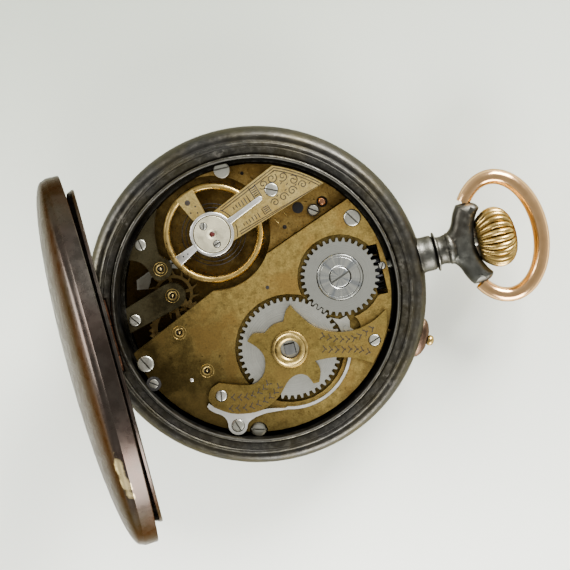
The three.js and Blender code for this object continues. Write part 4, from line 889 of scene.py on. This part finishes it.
BRIDGE_TOP = high("barrel_bridge").z
GROUND_TOP = high("main_plate").z - 0.05
LOW_COCK_TOP = high("pallet_cock").z
COCK_TOP = high("balance_cock").z
RATCHET_BRIDGE_TOP = high("ratchet_bridge").z
BALANCE = joint_place("balance_swing")


def make_small_work():
    """Bushes, small screws, drilled holes and pins."""
    bush("third_bush", joint_place("third_wheel_spin"), BRIDGE_TOP)
    bush("fourth_bush", joint_place("fourth_wheel_spin"), BRIDGE_TOP)
    bush("escape_bush", joint_place("escape_wheel_spin"), LOW_COCK_TOP)
    bush("pallet_bush", joint_place("pallet_fork_pivot"), LOW_COCK_TOP)
    small_screw("rim_screw_left", (-17.5, -8.4), 0.72, BRIDGE_TOP + 0.05, -35, 0.35)
    small_screw("ground_screw", (11.1, 10.45), 0.78, GROUND_TOP + 0.35, -35)
    small_screw("rim_screw_right", (18.75, 0.4), 0.48, BRIDGE_TOP + 0.08, 60)
    # drilled holes, drawn as discs of painted shade
    for i, (x, y, radius) in enumerate(((2.4, 18.05, 0.25), (6.5, 9.05, 0.3))):
        dot(f"ground_hole_{i + 1}", (x, y), radius, GROUND_TOP + 0.05)
    dot("bridge_pin_left", (-12, -9.2), 0.28, BRIDGE_TOP, BRIGHT_STEEL)
    # a mark drawn as a disc of painted shade
    dot("bridge_mark", (2, 1.3), 0.28, BRIDGE_TOP)
    dot("ground_insert", (9.0, 11.3), 0.8, GROUND_TOP + 0.05, DARK_STEEL)
    # a ring of painted shade round the copper pin's foot
    dot("copper_shade_ring", (12.6, 11.3), 0.8, GROUND_TOP + 0.05)
    shoulder = GROUND_TOP + 0.45
    pin = [(0, GROUND_TOP), (0.55, GROUND_TOP), *arc((0, shoulder), (0.55, 0.2), 0, 90, 5)]
    lathed("copper_pin", pin, COPPER, (), (12.6, 11.35), 40)
    screw = [(0, 10.15), (0.57, 10.15), (0.57, 11.1), (1.15, 11.1), (1.15, 11.55), (1.07, 11.62), (0, 11.65)]
    half_moon = lathed("case_screw_1_head", screw, SCREW_STEEL, ["case_screw_1"],
                       (-0.25, 19.2), 64)
    cut(half_moon, box_mesh((-2.0, 19.3, 11.28), (1.6, 19.52, 12)), box_mesh((-2.5, 19.95, 9.9), (2, 21, 12)))
    # dark discs of painted shade for the stud screw and its dots
    dot("stud_screw", (-6.05, 15.85), 0.42, COCK_TOP, CUT_SHADE)
    for i, (x, y) in enumerate(((-5.95, 14.35), (-5.0, 14.15), (-5.1, 15.1))):
        dot(f"stud_dot_{i + 1}", (x, y), 0.13, COCK_TOP, CUT_SHADE)


# ---- balance, cap and regulator


def make_balance():
    """Plain gold balance with two arms."""
    rim_low, rim_high = 9.85, 10.85
    half = (rim_high - rim_low) / 2
    rim = turned(arc((6.775, rim_low + half), (0.525, half), 0, 348.75, 31), 256)
    arm = moved(box_mesh((-6.6, -0.42, 10.15), (6.6, 0.42, 10.45)), Matrix.Rotation(math.radians(24), 4, "Z"))
    hub = turned([(0.4, 10.1), (1.0, 10.1), (1.1, 10.2), (1.1, 10.5), (1.0, 10.6), (0.4, 10.6)], 64)
    wheel = moved(joined(rim, arm, hub), about(BALANCE))
    piece = finished("balance_ring", wheel, BALANCE_GOLD, "balance", ["balance_wheel"])
    softened(piece, 0.04, 50)


def make_endstone():
    """Polished cap round a ruby, held by two tiny screws."""
    bottom, top = low("endstone_cap").z, high("endstone_cap").z
    cap = [(0.4, bottom), (2.5, bottom), (2.6, bottom + 0.06), (2.6, top - 0.08), (2.53, top), (2.48, top),
           (0.8, top), (0.74, top), (0.5, top - 0.14), (0.4, top - 0.16)]
    lathed("cap_disc", cap, CAP_STEEL, ["endstone_cap"], BALANCE, 128)
    stone = [(0, bottom), (0.39, bottom), *arc((0, top - 0.2), (0.39, 0.08), 0, 90, 6)]
    lathed("cap_ruby", stone, RUBY, ["endstone_jewel"], BALANCE, 48)
    for i, (x, y, angle) in enumerate(((-4.65, 12.1, 75), (-3.4, 9.2, 20))):
        small_screw(f"cap_screw_{i + 1}", (x, y), 0.5, top + 0.03, angle)


def make_regulator():
    """Regulator ring, long pointer, short tail and two curb pins."""
    bottom, top = low("regulator").z, high("regulator").z
    ring = turned([(2.72, bottom), (3.08, bottom), (3.15, bottom + 0.07), (3.15, top - 0.09), (3.06, top),
                   (2.8, top), (2.72, top - 0.07)], 128)
    side = [(2.95, 0.45), (4.0, 0.38), (8.5, 0.36)]
    tip = arc((8.5, 0), (0.36, 0.36), 90, -90, 10)[1:-1]
    pointer = [*side, *tip, *((x, -y) for x, y in reversed(side))]
    tail = [(2.95, -0.45), (6.2, -0.75), (6.2, 0.75), (2.95, 0.45)]
    arms = []
    for outline, angle in ((pointer, 22.7), (tail, 204.4)):
        arm = plate_mesh(outline, bottom, top, 0.07, 2)
        arms.append(moved(arm, Matrix.Rotation(math.radians(angle), 4, "Z")))
    whole = moved(joined(ring, *arms), about(BALANCE))
    finished("regulator_arm", whole, BRIGHT_STEEL, "rate_arm", ["regulator"])
    for i, place in enumerate(((-8.5, 8.6), (-7.8, 8.8))):
        pin = turned([(0, top - 0.1), (0.16, top - 0.1), (0.16, top - 0.01), (0, top + 0.02)], 24)
        finished(f"curb_pin_{i + 1}", moved(pin, about(place)), DARK_STEEL, "rate_arm")


def make_hairspring():
    """Flat spiral spring under the cock."""
    inner = 0.75
    outer = (high("hairspring").x - low("hairspring").x) / 2 - 0.1
    steps = 60
    points = 7 * steps
    route = []
    for i in range(points + 1):
        angle = 2 * math.pi * i / steps
        radius = inner + (outer - inner) * i / points
        route.append((BALANCE.x + radius * math.cos(angle), BALANCE.y + radius * math.sin(angle),
                      middle("hairspring").z))
    coil = wire_mesh([route], 0.11, 2)
    finished("hairspring_spiral", coil, DARK_STEEL, "case", ["hairspring"], 60)


def make_core():
    """Polished core of the crown wheel with a fine ring cut near its edge."""
    bottom, top = low("crown_wheel_core").z, high("crown_wheel_core").z
    core = [(1.6, bottom), (3.1, bottom), (3.28, bottom + 0.1), (3.28, top - 0.08), (3.2, top), (2.98, top),
            (2.93, top - 0.06), (2.86, top), (1.68, top), (1.6, top - 0.06)]
    lathed("wheel_core", core, CORE_STEEL, ["crown_wheel_core"], CROWN_WHEEL, 128)


def make_arbor_bush():
    """Gold bush round the arbor's square."""
    bottom, top = low("arbor_bush").z, high("arbor_bush").z
    ring = [(1.38, bottom), (2.62, bottom), (2.7, bottom + 0.1), (2.7, top - 0.2), (2.6, top - 0.08),
            (2.35, top - 0.03), (2.2, top - 0.12), (2.05, top - 0.06), (1.8, top), (1.55, top - 0.05),
            (1.38, top - 0.2)]
    lathed("arbor_ring", ring, BUSH_GOLD, ["arbor_bush"], RATCHET, 128)


# ---- engraving


def engraving(name, strokes, top, width, material=CUT_SHADE):
    """Cut lines as strips along routes of (x, y) points, just proud of a surface, dark with painted shade
    unless another material is given.
    """
    routes = [[(x, y, top - width * 0.32) for x, y in stroke] for stroke in strokes]
    finished(name, wire_mesh(routes, width, 1), material, "case", (), 60)


COCK_ANGLE = math.atan2(13.92 - 8.85, 13.44 + 1.6)      # direction of the cock's straight lower edge
COCK_END_RADIUS = 19.35                                 # of its rounded end, about the case axis


def on_cock(x, y):
    """A place measured from the balance along and across the cock."""
    along = Vector((math.cos(COCK_ANGLE), math.sin(COCK_ANGLE)))
    across = Vector((-along.y, along.x))
    return Vector((BALANCE.x, BALANCE.y)) + along * x + across * y


def scroll(x, y, radius, start, hand):
    """A spiral on the cock that winds in to its centre, left- or right-handed."""
    turns = 1.3
    steps = 33
    points = []
    for i in range(steps + 1):
        share = i / steps
        angle = math.radians(start) + hand * 2 * math.pi * turns * share
        reach = radius * (1 - 0.82 * share)
        points.append(on_cock(x + reach * math.cos(angle), y + reach * math.sin(angle)))
    return points


def cock_border(inset):
    """The cock's outline a little way in, open at the balance end."""
    end = COCK_END_RADIUS - inset
    rounded = arc((0, 0), (end, end), 46.2 + inset * 1.6, 68.6 - inset * 1.2, 12)
    return [on_cock(3.5, -2.43 + inset), *rounded, on_cock(3.0, 2.68 - inset)]


def cock_strokes():
    """Double border, scale bars and running scrolls."""
    strokes = [cock_border(0.26), cock_border(0.62)]
    for side in (1, -1):
        strokes.append([on_cock(x, y * side) for x, y in arc((0, 0), (3.65, 3.65), 10, 38.8, 8)])
    for i in range(6):
        x = 4.6 + 0.5 * i
        size = 0.22 + 0.06 * i
        strokes.append([on_cock(x, 1.45 - size), on_cock(x, 1.45 + size)])
        strokes.append([on_cock(x, -1.3 - size * 0.8), on_cock(x, -1.3 + size * 0.8)])
    for x in (7.9, 8.9):
        strokes.append([on_cock(x, 0.75), on_cock(x, 2.7)])
        strokes.append([on_cock(x, -0.75), on_cock(x, -1.8)])
    rungs = [*(0.95 + 0.3 * i for i in range(6)), *(-0.8 - 0.28 * i for i in range(4))]
    strokes.extend([on_cock(8.05, y), on_cock(8.75, y)] for y in rungs)
    for place in (
        (9.95, 2.05, 0.72, 200, 1), (11.45, 2.1, 0.76, 20, -1), (12.9, 1.5, 0.72, 200, 1),
        (13.9, 0.25, 0.72, 90, -1), (13.0, -0.95, 0.68, -20, 1), (14.7, -1.0, 0.62, 160, -1),
        (11.5, -1.05, 0.66, -20, 1), (10.05, -1.05, 0.62, 160, -1),
    ):
        strokes.append(scroll(*place))
    for x, y in ((10.7, 1.2), (12.2, 0.75), (12.85, 0.2), (13.85, -0.55), (12.25, -0.4), (10.8, -0.45),
                 (15.6, -1.4), (12.2, 2.75)):
        strokes.append([on_cock(x - 0.16, y), on_cock(x + 0.16, y + 0.1)])
    return strokes


def make_cock_engraving():
    """Generic ornament on the balance cock, and two short marks on the plate beside it."""
    engraving("cock_engraving", cock_strokes(), COCK_TOP, 0.22)
    marks = [[(5.3, 10.55), (5.75, 9.75)], [(6.8, 11.25), (7.2, 10.6)]]
    engraving("ground_marks", marks, GROUND_TOP + 0.05, 0.16, COCK_GILT)


def band_of_leaves(route, height, gap):
    """Short slanted strokes in pairs along a route, like a cut leaf border."""
    strokes = []
    travelled = 0.0
    for a, b in zip(route, route[1:]):
        travelled += (b - a).length
        if travelled < gap:
            continue
        travelled = 0.0
        along = (b - a).normalized()
        across = Vector((-along.y, along.x))
        lean = along * height * 0.28
        strokes.append([b - across * height / 2 - lean, b + along * 0.12, b + across * height / 2 - lean])
        strokes.append([b - across * height * 0.12 + along * 0.25, b + across * height * 0.12 + along * 0.25])
    return strokes


def make_ratchet_engraving():
    """Generic leaf borders on the ratchet bridge's two arms."""
    strokes = []
    for points in (
        ((7.2, -6.9), (9.8, -8.2), (12.3, -8.75), (15.2, -8.0)),
        ((7.0, -9.0), (9.6, -9.8), (12.3, -10.4), (14.4, -11.5)),
        ((-0.6, -11.6), (-2.3, -12.9), (-4.6, -13.35), (-6.9, -12.9)),
        ((0.9, -12.4), (-1.4, -14.2), (-4.4, -14.9), (-7.4, -14.5)),
    ):
        strokes.extend(band_of_leaves(spline_through(points), 1.0, 0.8))
    engraving("ratchet_bridge_engraving", strokes, RATCHET_BRIDGE_TOP, 0.22)


# ---- dial side


def make_dial():
    """Enamel dial with hour numbers and a minute track, facing out through the crystal."""
    bottom, top = low("dial").z, high("dial").z
    track_inner, track_outer = 17.0, 17.9
    edge = arc((18.9, bottom + 0.28), (0.3, 0.28), -90, 0, 5)
    disc = [(1.5, bottom), (16, bottom), *edge, (19.2, top), (1.5, top)]
    lathed("dial_disc", disc, ENAMEL, ["dial"])
    text_frame = Matrix(((0, 1, 0), (1, 0, 0), (0, 0, -1))).to_4x4()
    parts = []
    for hour in range(1, 13):
        curve = bpy.data.curves.new("hour", "FONT")
        curve.body = str(hour)
        curve.size = 4.4
        curve.align_x = "CENTER"
        curve.align_y = "CENTER"
        curve.extrude = 0.012
        angle = math.radians(30 * hour)
        place = Matrix.Translation((13.7 * math.cos(angle), 13.7 * math.sin(angle), bottom - 0.008))
        parts.append(curve_mesh(curve, place @ text_frame))
    for minute in range(60):
        start, half = (track_inner, 0.11) if minute % 5 == 0 else (17.35, 0.05)
        tick = box_mesh((start, -half, bottom - 0.015), (track_outer, half, bottom))
        parts.append(moved(tick, Matrix.Rotation(math.radians(6 * minute), 4, "Z")))
    for radius in (track_inner, track_outer):
        parts.append(turned([(radius - 0.04, bottom - 0.014), (radius + 0.04, bottom - 0.014),
                             (radius + 0.04, bottom), (radius - 0.04, bottom)]))
    finished("dial_print", joined(*parts), NUMERAL_BLACK, "case", (), 60)


# ---- CAD nodes that stay


FINE_EDGE = 0.03                # rounding of the small edges


def finish_cad_nodes():
    """Gives every CAD node that stays its material and rounded edges."""
    groups = (
        (PLATE_GILT, 0.06, "main_plate"), (BRIDGE_GILT, 0.08, "barrel_bridge"),
        (COCK_GILT, 0.06, "balance_cock"), (OLD_GILT, 0.07, "pallet_cock escape_cock"),
        (RATCHET_GILT, 0.07, "ratchet_bridge"), (WHEEL_STEEL, 0.05, "crown_wheel"),
        (RATCHET_STEEL, 0.05, "ratchet_wheel"), (ARBOR_STEEL, 0.05, "barrel_arbor"),
        (BRIGHT_STEEL, 0.05, "click_spring"), (DARK_STEEL, FINE_EDGE, "winding_pinion sliding_pinion"),
        (SCREW_STEEL, FINE_EDGE, "click stem setting_lever mainspring balance_staff pallet_fork"),
        (BLUED, FINE_EDGE, "hour_hand minute_hand"), (COPPER, FINE_EDGE, "cover_hinge_pin cuvette_hinge_pin"),
    )
    looks = {node: (material, edge) for material, edge, nodes in groups for node in nodes.split()}
    for node, item in frame["nodes"].items():
        material, edge = looks.get(node, (TRAIN_BRASS, FINE_EDGE))
        item.data.materials.clear()
        item.data.materials.append(material)
        if not item.hide_render:
            softened(item, edge, 40)


# ---- floor, light and camera


def make_floor():
    """Pale floor with painted shade that darkens it towards +Y."""
    grid = bmesh.new()
    bmesh.ops.create_grid(grid, x_segments=40, y_segments=40, size=1.5)
    floor = in_scene("floor", mesh_from("floor", grid))
    floor.location.z = -0.02 * MM
    made = Finish("floor_pale", metallic=0.0, roughness=0.6)
    # painted shade: the floor darkens towards +Y
    along = made.window(made.add("SeparateXYZ", {0: made.place}).outputs[1], -0.05, 0.06)
    made.set("Base Color", made.blend(along, (0.95, 0.97, 0.87), (0.32, 0.35, 0.28)))
    floor.data.materials.append(made.material)


def make_sky():
    """Soft sky, brighter at the horizon than overhead."""
    world = bpy.data.worlds.new("studio")
    world.use_nodes = True
    bpy.context.scene.world = world
    tree = world.node_tree
    place = tree.nodes.new("ShaderNodeTexCoord")
    parts = tree.nodes.new("ShaderNodeSeparateXYZ")
    ramp = tree.nodes.new("ShaderNodeValToRGB")
    sky = tree.nodes["Background"]
    tree.links.new(place.outputs["Generated"], parts.inputs[0])
    tree.links.new(parts.outputs[2], ramp.inputs[0])
    tree.links.new(ramp.outputs[0], sky.inputs[0])
    horizon, overhead = ramp.color_ramp.elements
    horizon.color = (0.95, 0.96, 0.92, 1)
    overhead.color = (0.5, 0.5, 0.47, 1)


def make_lamps():
    """Three low, wide lamps aimed at the movement."""
    aim = Vector((0, 0, 0.01))
    for name, place, size, power in (
        ("key", (0.24, 0.3, 0.2), 0.2, 7.0),
        ("fill", (-0.32, 0.1, 0.16), 0.25, 3.0),
        ("low", (0.05, -0.36, 0.18), 0.25, 4.0),
    ):
        light = bpy.data.lights.new(name, "AREA")
        light.energy = power
        light.size = size
        lamp = in_scene(name, light)
        lamp.location = place
        lamp.rotation_euler = (aim - Vector(place)).to_track_quat("-Z", "Y").to_euler()


def make_camera():
    """Camera almost straight above the movement, turned so that the pendant points up and to the right."""
    right = Vector((0.97, -0.243, -0.0082)).normalized()
    back = Vector((0.0358, 0.1093, 0.9934)).normalized()
    up = back.cross(right).normalized()
    right = up.cross(back)
    turn = Matrix((right, up, back)).transposed().to_4x4()
    camera = bpy.data.cameras.new("camera")
    camera.lens = 71.96
    camera.sensor_width = 36
    camera.clip_start = 0.01
    holder = in_scene("camera", camera)
    holder.matrix_world = Matrix.Translation(Vector((10.42, 18.96, 174.97)) * MM) @ turn
    bpy.context.scene.camera = holder


make_case()
make_bezel_and_crystal()
make_cover("outer_cover_dome", "back_cover", "outer_cover", (23.4, 5.0, 2.0, 0.5), OUTER_LUGS,
           (-1.65, 1.65), 0.0)
make_cover("inner_cover_dome", "cuvette", "inner_cover", (21.3, 2.1, 0.7, 0.4), INNER_LUGS,
           (-2.9, 1.4), FLANGE_TOP + 0.03 - INNER_HINGE.z)
make_pendant()
make_bow()
make_crown()
make_pusher()
make_screws()
make_small_work()
make_balance()
make_endstone()
make_regulator()
make_hairspring()
make_core()
make_arbor_bush()
make_cock_engraving()
make_ratchet_engraving()
make_dial()
finish_cad_nodes()
make_floor()
make_sky()
make_lamps()
make_camera()
